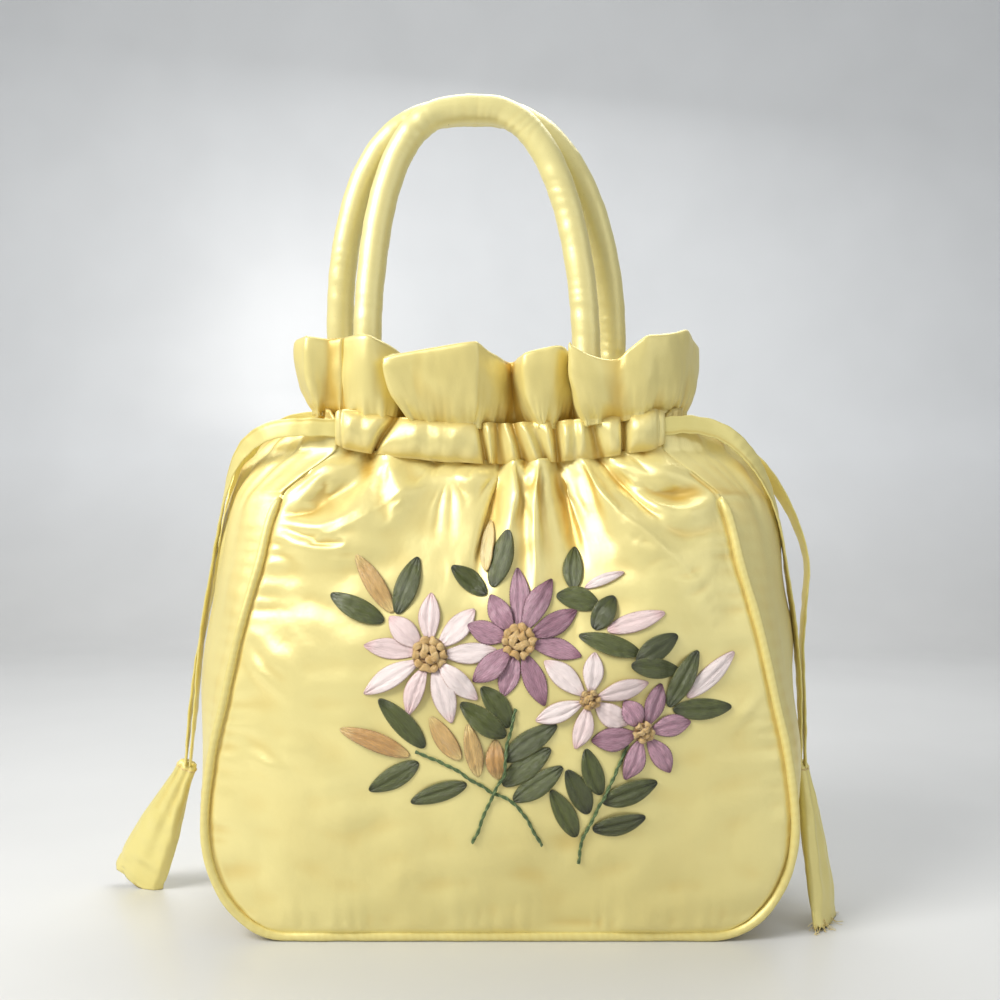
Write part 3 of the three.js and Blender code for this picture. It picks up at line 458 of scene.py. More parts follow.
knotRibbon = ribbonMaterial("knotRibbon", (0.62, 0.37, 0.11), (0.80, 0.57, 0.24), (0.20, 0.09, 0.02), 0.36,
                            0.35)
stemThread = threadMaterial("stemThread", (0.040, 0.080, 0.020), (0.14, 0.22, 0.07))
sewingThread = threadMaterial("sewingThread", (0.60, 0.44, 0.12), (0.84, 0.72, 0.34))
print("finishes ready")

# ---- drawstring straps and their cloth ends

strapSizes = {
    "width": 7.0, "thickness": 1.1, "rows": 190, "sides": 20,
    "groovePlace": 0.72, "grooveWidth": 0.12, "grooveDepth": 0.32, "puckerPitch": 2.6,
}
# places in mm down each strap, and the way that its flat face looks there, in degrees
strapRoutes = {
    "leftFrontStrap": ("drawstring_left_front", [
        (-62.2, -22.6, 189.5, 270), (-77, -22.2, 189.8, 267), (-89, -20, 188.6, 256), (-98.5, -16, 184, 238),
        (-105.5, -12, 175.5, 214), (-109.8, -8.8, 163.5, 196), (-113, -6.6, 149, 187), (-116.2, -5, 131, 182),
        (-119.4, -4, 112, 180), (-121.8, -2, 94, 181), (-124, 1, 76, 184), (-126.5, 2.5, 54, 195)]),
    "leftBackStrap": ("drawstring_left_back", [
        (-62.2, 22.6, 192.5, 90), (-75, 22.4, 196.5, 93), (-87, 20.6, 196, 104), (-97, 16.8, 190.5, 124),
        (-105, 12.2, 181, 146), (-110.2, 8.8, 168, 163), (-113.4, 6.6, 152.5, 172), (-116.6, 5.2, 135, 178),
        (-120.6, 4.8, 116, 180), (-124.2, 3.8, 95, 180), (-126.6, 3.2, 76, 184), (-128.6, 3.2, 54, 195)]),
    "rightFrontStrap": ("drawstring_right_front", [
        (62.2, -22.6, 190, 270), (75, -21.4, 190.8, 275), (88, -18.4, 187.4, 290), (99, -14.4, 178.5, 312),
        (107, -10.8, 166, 334), (112, -8, 151, 348), (115, -6.4, 133, 356), (118, -6.2, 111, 0),
        (119.6, -7.2, 86, 358), (119.4, -8.6, 55.6, 350)]),
    "rightBackStrap": ("drawstring_right_back", [
        (62.2, 22.6, 192, 90), (79, 21, 192.6, 85), (94, 15.4, 187.4, 64), (106, 8.6, 178, 34),
        (115.6, 4.2, 164.5, 14), (122, 2, 150, 5), (125.2, 1, 136, 0), (123.6, -1, 120, 0),
        (121.8, -3.2, 102, 358), (121.8, -5.2, 84, 356), (121.4, -8.2, 55.6, 350)]),
}


def compass(degrees):
    angle = np.radians(degrees)
    return np.stack([np.cos(angle), np.sin(angle), 0 * angle], -1)


def blunt(wave, power):
    return np.sign(wave) * np.abs(wave) ** power


def flatSection():
    # a folded strap: flat faces and rounded edges
    angle = (np.arange(strapSizes["sides"]) + 0.5) / strapSizes["sides"] * 2 * np.pi
    return np.stack([strapSizes["width"] / 2 * blunt(np.cos(angle), 0.8),
                     strapSizes["thickness"] / 2 * blunt(np.sin(angle), 0.45)], 1)


def strapPath(route, count):
    places = np.array([r[:3] for r in route], float)
    turns = np.degrees(np.unwrap(np.radians([r[3] for r in route])))
    dense = smoothPath(places, count * 3)
    looks = np.interp(np.linspace(0, len(route) - 1, count * 3), np.arange(len(route)), turns)
    table = evenly(np.column_stack([dense, looks]), count)
    return table[:, :3], table[:, 3]


def makeStrap(name, node, route, seed):
    line, looks = strapPath(route, strapSizes["rows"])
    steps = distanceAlong(line)
    base = flatSection()
    section = np.repeat(base[None], len(line), 0)
    across = base[:, 0] / strapSizes["width"] * 2
    section[..., 0] *= 1 + 0.035 * ripples(seed, 11.0, steps)[:, None]
    # a soft groove where the folded edges meet, and small puckers along it
    groove = hump(across, strapSizes["groovePlace"], strapSizes["grooveWidth"]) * (base[:, 1] > 0)
    waves = np.sin(2 * np.pi * steps / strapSizes["puckerPitch"] + 2 * ripples(seed + 1, 18.0, steps))
    section[..., 1] -= strapSizes["grooveDepth"] * groove[None] * (0.8 + 0.2 * waves[:, None])
    section[..., 1] += 0.10 * ripples(seed + 2, 7.0, steps[:, None] + 0 * across, across[None] * 3)
    rings = ringsAlong(line, compass(looks), section)
    weave = ringWeave(np.arange(len(base)) / len(base) * 15.0, steps)
    # painted shade: golden colour along the groove where the folded edges meet
    fold = np.clip(np.broadcast_to(groove * 0.7, rings.shape[:2]), 0, 1)
    piece = makePiece(name, tubeMesh(rings), strapSatin, [node], weave, {"fold": fold.ravel()})
    return piece, line, steps[-1]


tieSizes = {
    "length": 57.0, "width": 25.0, "overlap": 3.0, "rows": 90, "round": 72, "innerRows": 10, "slant": 2.4,
    "jag": 0.78, "pleats": 7, "threadRadius": 0.2, "threadPitch": 0.45,
}
# folds: place across, -1 to 1, width, depth, and the share of the length where each one starts
tieEnds = {
    "leftTieEnd": {
        "node": "tie_end_left", "straps": ("leftFrontStrap", "leftBackStrap"), "foot": (-154.0, 17.0),
        "looks": 250.0, "flat": 1.0, "gap": 1.84, "seed": 31, "frayed": 0,
        "folds": ((-0.45, 0.10, 0.55, 0.0), (0.02, 0.13, 0.7, 0.15), (0.42, 0.09, 0.5, 0.05),
                  (0.72, 0.08, 0.4, 0.3)),
    },
    "rightTieEnd": {
        "node": "tie_end_right", "straps": ("rightFrontStrap", "rightBackStrap"), "foot": (124.4, -22.0),
        "looks": 328.0, "flat": 0.9, "gap": 0.88, "seed": 37, "frayed": 34,
        "folds": ((-0.5, 0.09, 0.5, 0.1), (-0.1, 0.12, 0.7, 0.0), (0.35, 0.10, 0.6, 0.25),
                  (0.7, 0.08, 0.4, 0.1)),
    },
}
tieProfile = {
    "along": (0, 0.03, 0.12, 0.3, 0.55, 0.8, 1), "width": (0.30, 0.34, 0.36, 0.52, 0.76, 0.93, 1.0),
    "thick": (0.10, 0.17, 0.21, 0.30, 0.34, 0.32, 0.22),
}


def makeTieEnd(name, sizes):
    # a strip of cloth gathered round the two straps at the top, folded on itself and open at the foot
    feet = [np.array(strapRoutes[s][1][-1][:3], float) for s in sizes["straps"]]
    start = (feet[0] + feet[1]) / 2
    lean = np.array([*sizes["foot"], 0.0]) - start
    lean /= np.linalg.norm(lean)
    start = start + lean * (sizes["gap"] - tieSizes["overlap"])
    length = tieSizes["length"] + tieSizes["overlap"]
    rows, count, seed = tieSizes["rows"], tieSizes["round"], sizes["seed"]
    t, theta = np.linspace(0, 1, rows), turnsRound(count)
    wide, thick = (np.interp(t, tieProfile["along"], tieProfile[side])[:, None] * tieSizes["width"] / 2
                   for side in ("width", "thick"))
    tt, th = np.meshgrid(t, theta, indexing="ij")
    c, s = np.cos(th), np.sin(th)
    pleats = np.cos(tieSizes["pleats"] * th + 1.2 + 0.8 * tt) * (0.18 * (1 - tt) ** 1.2 + 0.06)
    long = 0
    for place, spread, deep, begin in sizes["folds"]:
        fold = deep * hump(c - 0.25 * (tt - 0.5), place, spread) * (s < 0)
        long = long + fold * smooth(tt, begin, begin + 0.3)
    long = np.clip(long, 0, 0.8)
    soft = 0.10 * ripples(seed, 15.0, tt * 57, c * 12, s * 12)
    hem = 1 - 0.03 * smooth(tt, 0.86, 0.9) * (1 - smooth(tt, 0.9, 0.93))
    x = c * wide * (1 + 0.04 * np.sin(5 * th + 3 * tt))
    y = blunt(s, 0.8) * thick * sizes["flat"] * (1 + pleats * 0.7 + soft) * (1 - long)
    outer = np.stack([x, y], -1) * hem[..., None]
    line = start + lean * (t[:, None] * length)
    facing = np.repeat(compass(np.array([sizes["looks"]])), rows, 0)
    rings = ringsAlong(line, facing, outer)
    # inside the open foot the cloth goes back up a little way
    back = np.linspace(1, 0.8, tieSizes["innerRows"])
    shrink = np.interp(back, (0.8, 0.97, 1), (0.72, 0.86, 0.97))[:, None, None]
    inner = ringsAlong(start + lean * (back[:, None] * length), facing[:len(back)], outer[-1] * shrink)
    rings = np.concatenate([rings, inner])
    slant = tieSizes["slant"] * np.cos(theta - 0.5)[:, None]
    rings[:6] += lean * slant * np.linspace(0.4, 0, 6)[:, None, None]
    rings[rows - 4:rows + 4] += lean * tieSizes["jag"] * ripples(seed + 3, 5.0, theta * 8)[:, None]
    rings[..., 2] = np.maximum(rings[..., 2], 0.05)
    weave = ringWeave(theta * 7, np.r_[t * length, length + np.linspace(0, 10, len(back))])
    shade = np.clip(0.9 * long - 1.2 * pleats * (tt < 0.4), 0, 1)
    shade = np.concatenate([shade, np.full((len(back), count), 0.75)])
    piece = makePiece(name, tubeMesh(rings), strapSatin, [sizes["node"]], weave,
                      {"fold": shade.ravel()})
    extras = []
    if sizes["frayed"]:
        extras.append(makeFray(name + "Fray", rings[rows - 1], lean, sizes["frayed"], seed))
    seamRing = ringsAlong(line[3:5], facing[3:5], outer[3:5] * 1.03)[0]
    extras.append(makeBand(name + "Seam", seamRing + lean * slant * 0.35, lean))
    return piece, extras


def makeFray(name, foot, lean, count, seed):
    rng = np.random.default_rng(seed)
    strands = []
    for _ in range(count):
        root = foot[rng.integers(len(foot))] - lean * 1.5
        away = lean * rng.uniform(2.5, 8.5) + rng.normal(size=3) * 1.6
        curl = rng.normal(size=3) * 1.4
        path = root + np.array([0 * away, 0.4 * (away + curl), 0.8 * away + curl, away + 0.6 * curl])
        path[:, 2] = np.maximum(path[:, 2], 0.35)
        line = smoothPath(path, 12)
        section = roundSection(rng.uniform(0.10, 0.2), 5) * np.linspace(1, 0.45, len(line))[:, None, None]
        strands.append(tubeMesh(ringsAlong(line, np.tile([0.1, -1.0, 0.2], (len(line), 1)), section)))
    return makePiece(name, joinedMeshes(strands), sewingThread, [])


def makeBand(name, ring, lean):
    # two rounds of thread that bind the cloth to the straps
    turns = []
    circle = roundSection(tieSizes["threadRadius"], 6)
    for lift in (0.0, tieSizes["threadPitch"]):
        loop = ring + lean * lift
        ahead = np.roll(loop, -1, 0) - np.roll(loop, 1, 0)
        ahead /= np.linalg.norm(ahead, axis=1)[:, None]
        out = loop - loop.mean(0)
        out -= (out * ahead).sum(1)[:, None] * ahead
        out /= np.linalg.norm(out, axis=1)[:, None]
        side = np.cross(ahead, out)
        tube = loop[:, None] + circle[None, :, :1] * out[:, None] + circle[None, :, 1:] * side[:, None]
        faces = gridQuads(len(loop) + 1, len(circle), True) % (len(loop) * len(circle))
        turns.append((tube.reshape(-1, 3), faces.tolist()))
    return makePiece(name, joinedMeshes(turns), sewingThread, [])


for tieName, sizes in tieEnds.items():
    piece, extras = makeTieEnd(tieName, sizes)
for seed, (strapName, (node, route)) in enumerate(strapRoutes.items()):
    strap, line, length = makeStrap(strapName, node, route, 11 + 5 * seed)
print("straps and tie ends made")

# ---- body

body = {
    "panelWidth": 220.0, "baseWidth": 156.0, "cornerHeight": 42.0, "baseDepth": 80.0,
    "bellyBulge": 11.0, "sideBulge": 24.0, "cloth": 1.2,
    "neckWidth": 128.0, "neckDepth": 43.0, "neckBelly": 3.5, "neckSag": 6.0,
    "casingBottom": 182.0, "casingHeight": 15.0, "pipingDiameter": 3.4, "pipingTop": 161.0,
}
# shares from the base, up 0, past the casing's foot, up 1
bodySections = {
    "up": (0.0, 0.1, 0.23, 0.37, 0.48, 0.62, 0.75, 0.885, 0.94, 0.975, 1.0, 1.025, 1.045, 1.07),
    "width": (1.0, 1.0, 1.0, 0.95, 0.86, 0.75, 0.62, 0.49, 0.27, 0.09, 0.0, 0.0, 0.0, 0.0),
    "depth": (1.0, 1.0, 1.0, 0.97, 0.92, 0.8, 0.6, 0.32, 0.17, 0.05, 0.0, 0.0, 0.0, 0.0),
    "belly": (0.0, 0.5, 0.85, 1.0, 1.0, 0.9, 0.72, 0.5, 0.38, 0.34, 0.32, 0.32, 0.32, 0.32),
    "side": (0.0, 0.06, 0.22, 0.42, 0.61, 0.77, 0.88, 1.0, 1.28, 1.5, 1.48, 1.3, 1.0, 0.625),
}
casingTop = body["casingBottom"] + body["casingHeight"]
pipingRadius = body["pipingDiameter"] / 2


def tableValue(column, up):
    # a smooth curve through the table's rows that doesn't overshoot
    x, y = np.array(bodySections["up"]), np.array(bodySections[column])
    rise = np.diff(y)
    slope = np.zeros(len(x))
    same = rise[:-1] * rise[1:] > 0
    slope[1:-1] = np.where(same, (rise[:-1] + rise[1:]) / (x[2:] - x[:-2]), 0)
    up = np.clip(up, x[0], x[-1])
    i = np.clip(np.searchsorted(x, up, side="right") - 1, 0, len(x) - 2)
    span = x[i + 1] - x[i]
    t = (up - x[i]) / span
    bend = span * (slope[i] * (1 - t) - slope[i + 1] * t)
    return y[i] + rise[i] * t * t * (3 - 2 * t) + bend * t * (1 - t)


def sectionAt(z):
    # half width, half depth, and how far the faces and the sides bulge
    up = np.asarray(z, float) / body["casingBottom"]
    width = body["neckWidth"] + (body["panelWidth"] - body["neckWidth"]) * tableValue("width", up)
    depth = body["neckDepth"] + (body["baseDepth"] - body["neckDepth"]) * tableValue("depth", up)
    belly, side = body["bellyBulge"] * tableValue("belly", up), body["sideBulge"] * tableValue("side", up)
    return width / 2, depth / 2, belly, side


def outlineHalfWidth(z, inset):
    corner = (body["panelWidth"] - body["baseWidth"]) / 2
    drop = np.clip((body["cornerHeight"] - z) / (body["cornerHeight"] - inset), 0, 1)
    low = body["baseWidth"] / 2 + (corner - inset) * np.sqrt(1 - drop**2)
    return np.where(z >= body["cornerHeight"], sectionAt(z)[0] - inset, low)


def panelInset(z):
    piped = 1.35 * pipingRadius
    return piped + (0.5 - piped) * smooth(z, body["pipingTop"] - 2, body["pipingTop"] + 4)


def sagAt(u, z):
    return body["neckSag"] * (1 - u * u) * smooth(z, 0.72 * body["casingBottom"], body["casingBottom"])


# Folds of a panel: (x, z) places down its line, its height along the line, below 0 for a crease, how wide it
# is left and right of the line, and how round its edge is.
frontFolds = [
    ([(-34, 168), (-50, 157.5), (-63, 150.5), (-76, 146), (-85, 147)], (1.5, 3.2, 3.7, 3.2, 1.2), 17, 4.2, 1.1),
    ([(-47, 163), (-60, 156), (-73, 152), (-82, 153.5)], (0.8, 1.8, 1.8, 0.5), 2.2, 4, 0.8),
    ([(-54, 171), (-66, 165), (-77, 161)], (-1.6, -2.8, -1.4), 7, 8, 4),
    ([(-52, 182), (-50.8, 175), (-49, 169)], (-5.2, -4.2, 0), 2.8, 3.2, 1),
    ([(-44, 181), (-41, 173), (-36, 166)], (2.4, 2.8, 1.2), 6, 5, 2.4),
    ([(-30, 181), (-21, 167), (-15, 151), (-11, 138)], (-2.2, -3.0, -2.2, 0), 9, 11, 5),
    ([(1.0, 177), (-1, 168), (-4.3, 154), (-9, 140), (-16, 123)], (-5.4, -4.8, -3.6, -2.0, 0), 3, 8, 1),
    ([(5, 177), (5, 166), (3, 154), (0, 140), (-5, 124)], (2.6, 3.2, 2.4, 1.3, 0), 4.5, 2.8, 1.3),
    ([(10, 178), (9.8, 168), (9, 156)], (-3.4, -2.4, 0), 2.6, 2.6, 1),
    ([(15, 178), (13.8, 170), (12.5, 158), (13, 142), (15.5, 120)], (2.8, 3.2, 2.6, 1.6, 0), 6, 3.5, 1.5),
    ([(21.6, 180), (23, 171), (25, 160.5), (27.6, 148), (33, 133)], (-6.2, -5.8, -4.6, -2.8, 0), 8, 3, 1),
    ([(27, 176), (30, 164), (34, 151)], (-1.6, -2.2, 0), 4.5, 5, 3),
    ([(29, 181), (36.8, 167), (50.6, 153), (60, 144), (72, 132), (79, 116), (81, 94)],
     (3.0, 3.8, 3.6, 3.0, 2.4, 1.3, 0), 4.6, 10, 1.1),
    ([(35, 182), (41.4, 173.5), (52.5, 160.5), (61, 154)], (-5.0, -4.6, -2.8, 0), 2.8, 3.0, 0.9),
    ([(49, 164), (59, 159.5), (71, 158), (82, 161)], (1.0, 2.6, 3.0, 1.4), 3.0, 9.0, 1.1),
    ([(56, 167.5), (66, 163.5), (77, 165)], (-1.4, -2.4, -1.0), 5, 3.4, 2.6),
    ([(49, 178), (62, 173.5), (74, 168)], (1.4, 2.2, 0.8), 6, 5, 3),
    ([(-58, 182), (-62, 176)], (-2.6, 0), 2.0, 2.0, 1.0),
    ([(-26, 181), (-25, 174)], (-2.4, 0), 2.2, 2.2, 1.0),
    ([(-13, 180), (-12.5, 172)], (-2.0, 0), 1.8, 2.0, 0.9),
    ([(46, 182), (49, 176)], (-2.4, 0), 1.8, 1.8, 0.9),
    ([(54, 182), (58, 177)], (-2.2, 0), 1.8, 1.8, 0.9),
    ([(84, 104), (89, 84), (91, 60)], (0, 1.1, 0), 6, 5, 2),
    ([(-83, 126), (-88, 98), (-90, 68)], (0, 1.3, 0), 6, 6, 2),
    ([(-94, 86), (-84, 66), (-66, 50)], (0, 0.9, 0), 6, 4, 2),
    ([(-62, 34), (-36, 28), (-8, 31)], (0, 0.9, 0), 8, 5, 2.4),
    ([(22, 26), (50, 30), (80, 42)], (0, 0.8, 0), 6, 8, 2.4),
]
backFolds = [
    ([(-44, 182), (-52, 166), (-66, 150), (-78, 128)], (-5.0, -3.6, -2.0, 0), 6, 4.5, 1.2),
    ([(-36, 181), (-42, 164), (-54, 146), (-62, 118), (-64, 90)], (2.6, 3.2, 2.2, 1.2, 0), 7, 5, 1.3),
    ([(-22, 180), (-24, 164), (-29, 146), (-36, 128)], (-4.6, -3.6, -2.2, 0), 5, 4, 1.2),
    ([(-12, 179), (-12, 160), (-15, 138), (-17, 112)], (2.4, 2.6, 1.6, 0), 6, 5, 1.6),
    ([(-2, 178), (0, 162), (-1, 146), (-4, 126)], (-5.0, -4.0, -2.6, 0), 4.5, 5.5, 1.1),
    ([(8, 179), (11, 160), (14, 136), (15, 108)], (2.2, 2.8, 1.6, 0), 5, 6, 1.5),
    ([(18, 180), (22, 165), (28, 148)], (-4.4, -2.8, 0), 4, 4, 1.1),
    ([(27, 181), (34, 166), (47, 150), (61, 136), (70, 116), (72, 92)],
     (2.4, 3.2, 2.8, 2.0, 1.0, 0), 5, 8, 1.3),
    ([(38, 182), (47, 170), (58, 158)], (-4.8, -3.0, 0), 4, 4, 1.1),
    ([(50, 181), (62, 172), (76, 160), (84, 140)], (1.4, 2.6, 2.0, 0), 5, 7, 1.6),
]
panelSizes = {
    "columns": 212, "rows": 170, "foldDepth": 1.9, "topFold": 0.45, "tuck": 2.4, "topPuff": 1.8,
    "softHeight": 0.9, "softPitch": 52.0, "dentHeight": 0.30, "dentPitch": 23.0,
    "fineHeight": 0.09, "finePitch": 12.0, "seamTuck": 0.8,
    "puckerHeight": 0.42, "puckerPitch": 6.4, "puckerReach": 8.0,
}
drapeSizes = {
    "columns": 130, "cornerRows": 20, "rows": 84, "scale": 0.01, "frames": 22,
    "gather": 0.055, "slack": 1.014, "pull": (0.0, -5.0, -6.0),
    "stretch": 30.0, "shear": 10.0, "bend": 1.4, "weight": 0.3,
}


def foldRelief(x, z, folds):
    spots = np.stack([x.ravel(), z.ravel()], 1)
    pick = np.arange(len(spots))
    total = np.zeros(len(spots))
    for path, rises, left, right, sharp in folds:
        line = smoothPath(path, 6 * len(path) - 5)
        start, step = line[:-1], np.diff(line, axis=0)
        away = spots[:, None] - start[None]
        t = np.clip((away * step).sum(-1) / (step**2).sum(-1), 0, 1)
        near = away - t[..., None] * step
        distance = np.hypot(near[..., 0], near[..., 1])
        k = distance.argmin(1)
        along = (k + t[pick, k]) / len(start)
        d = distance[pick, k]
        turn = step[k, 0] * away[pick, k, 1] - step[k, 1] * away[pick, k, 0]
        wide = np.where(turn > 0, left, right) * (0.8 + 0.5 * along)
        rise = np.interp(along, np.linspace(0, 1, len(rises)), rises)
        reach = (np.sqrt(d * d + sharp * sharp) - sharp) / wide
        total += rise * np.exp(-reach * (1 + 0.35 * reach))
    return total.reshape(x.shape)


def panelGrid(top):
    inset = float(panelInset(0.0))
    corner = body["cornerHeight"]
    angles = np.linspace(0, np.pi / 2, drapeSizes["cornerRows"] + 1)[:-1]
    low = corner - (corner - inset) * np.cos(angles)
    z = np.r_[low, np.linspace(corner, top, drapeSizes["rows"])]
    return np.meshgrid(np.linspace(-1, 1, drapeSizes["columns"]), z)


def panelStart(u, z, folds):
    # the panel before it is draped: without its folds, and with them
    _, halfDepth, belly, _ = sectionAt(z)
    x = u * outlineHalfWidth(z, panelInset(z))
    height = z - sagAt(u, z)
    top = body["casingBottom"]
    plain = np.stack([x, -(halfDepth + belly * (1 - np.abs(u) ** 3.5)), height], -1)
    hold = (1 - np.abs(u) ** 26) * smooth(z - panelInset(0.0), -0.5, 3.5)
    depth = panelSizes["foldDepth"] * (1 - panelSizes["topFold"] * smooth(z, top - 16, top))
    relief = depth * hold * foldRelief(x, height, folds)
    puff = hump(z - top, -9, 6)
    relief = relief + panelSizes["topPuff"] * puff * (1 - np.abs(u) ** 6)
    relief = relief - panelSizes["tuck"] * smooth(z, top - 5, top) * (1 - np.abs(u) ** 12)
    return plain, plain - np.stack([0 * x, relief, 0 * x], -1)


def drape(name, start, cut, held, frames):
    # lets a sheet hang and buckle from its start, where it is cut larger than the place that it fills
    rows, cols = start.shape[:2]
    scale = drapeSizes["scale"]
    data = bpy.data.meshes.new(name)
    data.from_pydata((start.reshape(-1, 3) * scale).tolist(), [], gridQuads(rows, cols).tolist())
    sheet = bpy.data.objects.new(name, data)
    bpy.context.collection.objects.link(sheet)
    sheet.shape_key_add(name="start")
    cutKey = sheet.shape_key_add(name="cut")
    cutKey.data.foreach_set("co", (cut * scale).astype(np.float32).ravel())
    sheet.vertex_groups.new(name="held").add(np.flatnonzero(held.ravel()).tolist(), 1.0, "REPLACE")
    cloth = sheet.modifiers.new("cloth", "CLOTH")
    settings = cloth.settings
    settings.quality = 6
    settings.mass = drapeSizes["weight"]
    settings.tension_stiffness = settings.compression_stiffness = drapeSizes["stretch"]
    settings.shear_stiffness = drapeSizes["shear"]
    settings.bending_stiffness = drapeSizes["bend"]
    settings.air_damping = 2.0
    settings.vertex_group_mass = "held"
    settings.rest_shape_key = cutKey
    cloth.collision_settings.use_self_collision = False
    cloth.point_cache.frame_start, cloth.point_cache.frame_end = 1, frames
    scene = bpy.context.scene
    scene.gravity = drapeSizes["pull"]
    for frameNumber in range(1, frames + 1):
        scene.frame_set(frameNumber)
    shape = sheet.evaluated_get(bpy.context.evaluated_depsgraph_get()).to_mesh()
    settled = np.empty(rows * cols * 3, np.float32)
    shape.vertices.foreach_get("co", settled)
    bpy.data.objects.remove(sheet)
    scene.frame_set(1)
    scene.gravity = (0.0, 0.0, -9.81)
    return settled.reshape(rows, cols, 3).astype(float) / scale


def denser(grid, rows, cols):
    # the same surface with more points, on smooth curves both ways
    for count in (rows, cols):
        grid = smoothPath(grid, count).transpose(1, 0, 2)
    return grid


def drapedPanel(name, folds):
    u, z = panelGrid(body["casingBottom"] + 1.2)
    plain, start = panelStart(u, z, folds)
    rise = np.linalg.norm(np.diff(plain, axis=0), axis=-1)
    up = np.vstack([0 * rise[:1], np.cumsum(rise, 0)]) * drapeSizes["slack"]
    spans = np.linalg.norm(np.diff(start, axis=1), axis=-1)
    spans = spans * (1 + drapeSizes["gather"] * smooth(z[:, :1], 90, 175))
    across = np.hstack([0 * spans[:, :1], np.cumsum(spans, 1)])
    across = across - across[:, -1:] / 2
    held = np.zeros(u.shape, bool)
    held[[0, -1]] = True
    held[:, [0, -1]] = True
    return drape(name, start, np.stack([across, 0 * u, up], -1), held, drapeSizes["frames"])


def crumpled(grid, seed):
    # soft dents, fine wrinkles near the gathers, and puckers that the seam draws into the cloth
    x, height = grid[..., 0], grid[..., 2]
    rows, cols = x.shape
    soft = ripples(seed, panelSizes["softPitch"], x, height * 0.7)
    fine = ripples(seed + 1, panelSizes["finePitch"], x, height * 0.6, waves=24)
    relief = panelSizes["softHeight"] * soft
    relief = relief + panelSizes["dentHeight"] * ripples(seed + 9, panelSizes["dentPitch"], x, height, waves=18)
    relief = relief + panelSizes["fineHeight"] * (0.4 + 0.6 * smooth(height, 110, 165)) * fine
    toSide = np.minimum(x - x[:, :1], x[:, -1:] - x)
    toFoot = height - height[0].min()
    toSeam = np.minimum(toSide, toFoot)
    run = np.where(toSide < toFoot, height, x)
    wander = 1.6 * ripples(seed + 2, 40.0, run, waves=6)
    strength = 0.4 + 0.5 * ripples(seed + 3, 55.0, run, waves=5)
    puckers = np.sin(2 * np.pi * run / panelSizes["puckerPitch"] + wander)
    reach = np.exp(-((toSeam / panelSizes["puckerReach"]) ** 1.2))
    relief = relief + panelSizes["puckerHeight"] * np.clip(strength, 0, 1.2) * puckers * reach
    toTop = (1 - np.arange(rows) / (rows - 1))[:, None]
    hold = smooth(toSeam, 0, 5.0) * smooth(toTop, 0, 0.05)
    relief = relief * hold - panelSizes["seamTuck"] * hump(toSide, 1.5, 0.9) * (x[:, :1] < -75)
    return grid + wayOut(grid) * relief[..., None]


def wayOut(grid):
    along, across = np.gradient(grid, axis=0), np.gradient(grid, axis=1)
    normal = np.cross(across, along)
    return normal / np.linalg.norm(normal, axis=-1)[..., None]


def foldShade(grid, reach):
    # how hollow the cloth lies against the mean of its surroundings: 0 on top, 1 deep in a fold
    mean = grid.copy()
    for _ in range(reach):
        mean[1:-1] = (mean[:-2] + 2 * mean[1:-1] + mean[2:]) / 4
        mean[:, 1:-1] = (mean[:, :-2] + 2 * mean[:, 1:-1] + mean[:, 2:]) / 4
    return ((mean - grid) * wayOut(grid)).sum(-1)


def turned(grid, turn):
    # the front's grid as it is, or half turned to the back
    return grid * np.array([turn, turn, 1])


def makePanel(name, node, folds, seed, turn):
    draped = drapedPanel(name + "Drape", folds)
    outer = crumpled(denser(draped, panelSizes["rows"], panelSizes["columns"]), seed)
    neckLine = outer[-1].copy()
    outer = turned(outer, turn)
    inner = outer + np.array([0, body["cloth"] * turn, 0])
    shade = np.clip(foldShade(outer, 14) / 0.9, 0, 1)
    piece = makePiece(name, clothMesh(outer, inner), bodySatin, [node],
                      weaveOf(outer[..., 0], outer[..., 2]), {"fold": both(shade)})
    return outer, neckLine


frontGrid, frontNeck = makePanel("frontPanel", "front_panel", frontFolds, 3, 1)
_, backNeck = makePanel("backPanel", "back_panel", backFolds, 8, -1)
print("panels made")

# ---- gusset and piping


def outlineLine(inset, top, spacing):
    # points and outward normals from the top left, under the base, to the top right
    corner = body["cornerHeight"]
    half = (body["panelWidth"] - body["baseWidth"]) / 2 - inset
    foot = np.arange(0, body["baseWidth"] / 2, spacing)
    line = [np.stack([foot, 0 * foot + inset, 0 * foot, 0 * foot - 1], 1)]
    angle = np.linspace(0, np.pi / 2, 34)[:-1]
    bend = body["baseWidth"] / 2 + half * np.sin(angle)
    line.append(np.stack([bend, corner - (corner - inset) * np.cos(angle), np.sin(angle), -np.cos(angle)], 1))
    z = np.arange(corner, top, spacing)
    z = np.r_[z[:-1], top]
    line.append(np.stack([outlineHalfWidth(z, inset), z, 1 + 0 * z, 0 * z], 1))
    right = np.vstack(line)
    left = right[:0:-1] * np.array([-1, 1, -1, 1])
    return np.vstack([left, right])


gussetSizes = {
    "columns": 84, "cloth": 1.2, "softHeight": 0.9, "softPitch": 34.0, "fineHeight": 0.3, "finePitch": 10.0,
    "creaseHeight": 2.2, "gatherHeight": 0.55, "puckerHeight": 0.4, "puckerPitch": 6.2, "topTuck": 3.4,
    "dart": 1.4, "dartUp": 1.8, "cornerDrop": 7.0,
    # places across the strip, -1 front to 1 back, of the creases that run down from the neck
    "creases": [(-0.86, -0.6, 0.8), (-0.5, -0.38, 1.2), (-0.26, -0.2, 0.6), (0.2, 0.14, 0.6), (0.5, 0.36, 1.1),
                (0.82, 0.6, 0.9)],
}


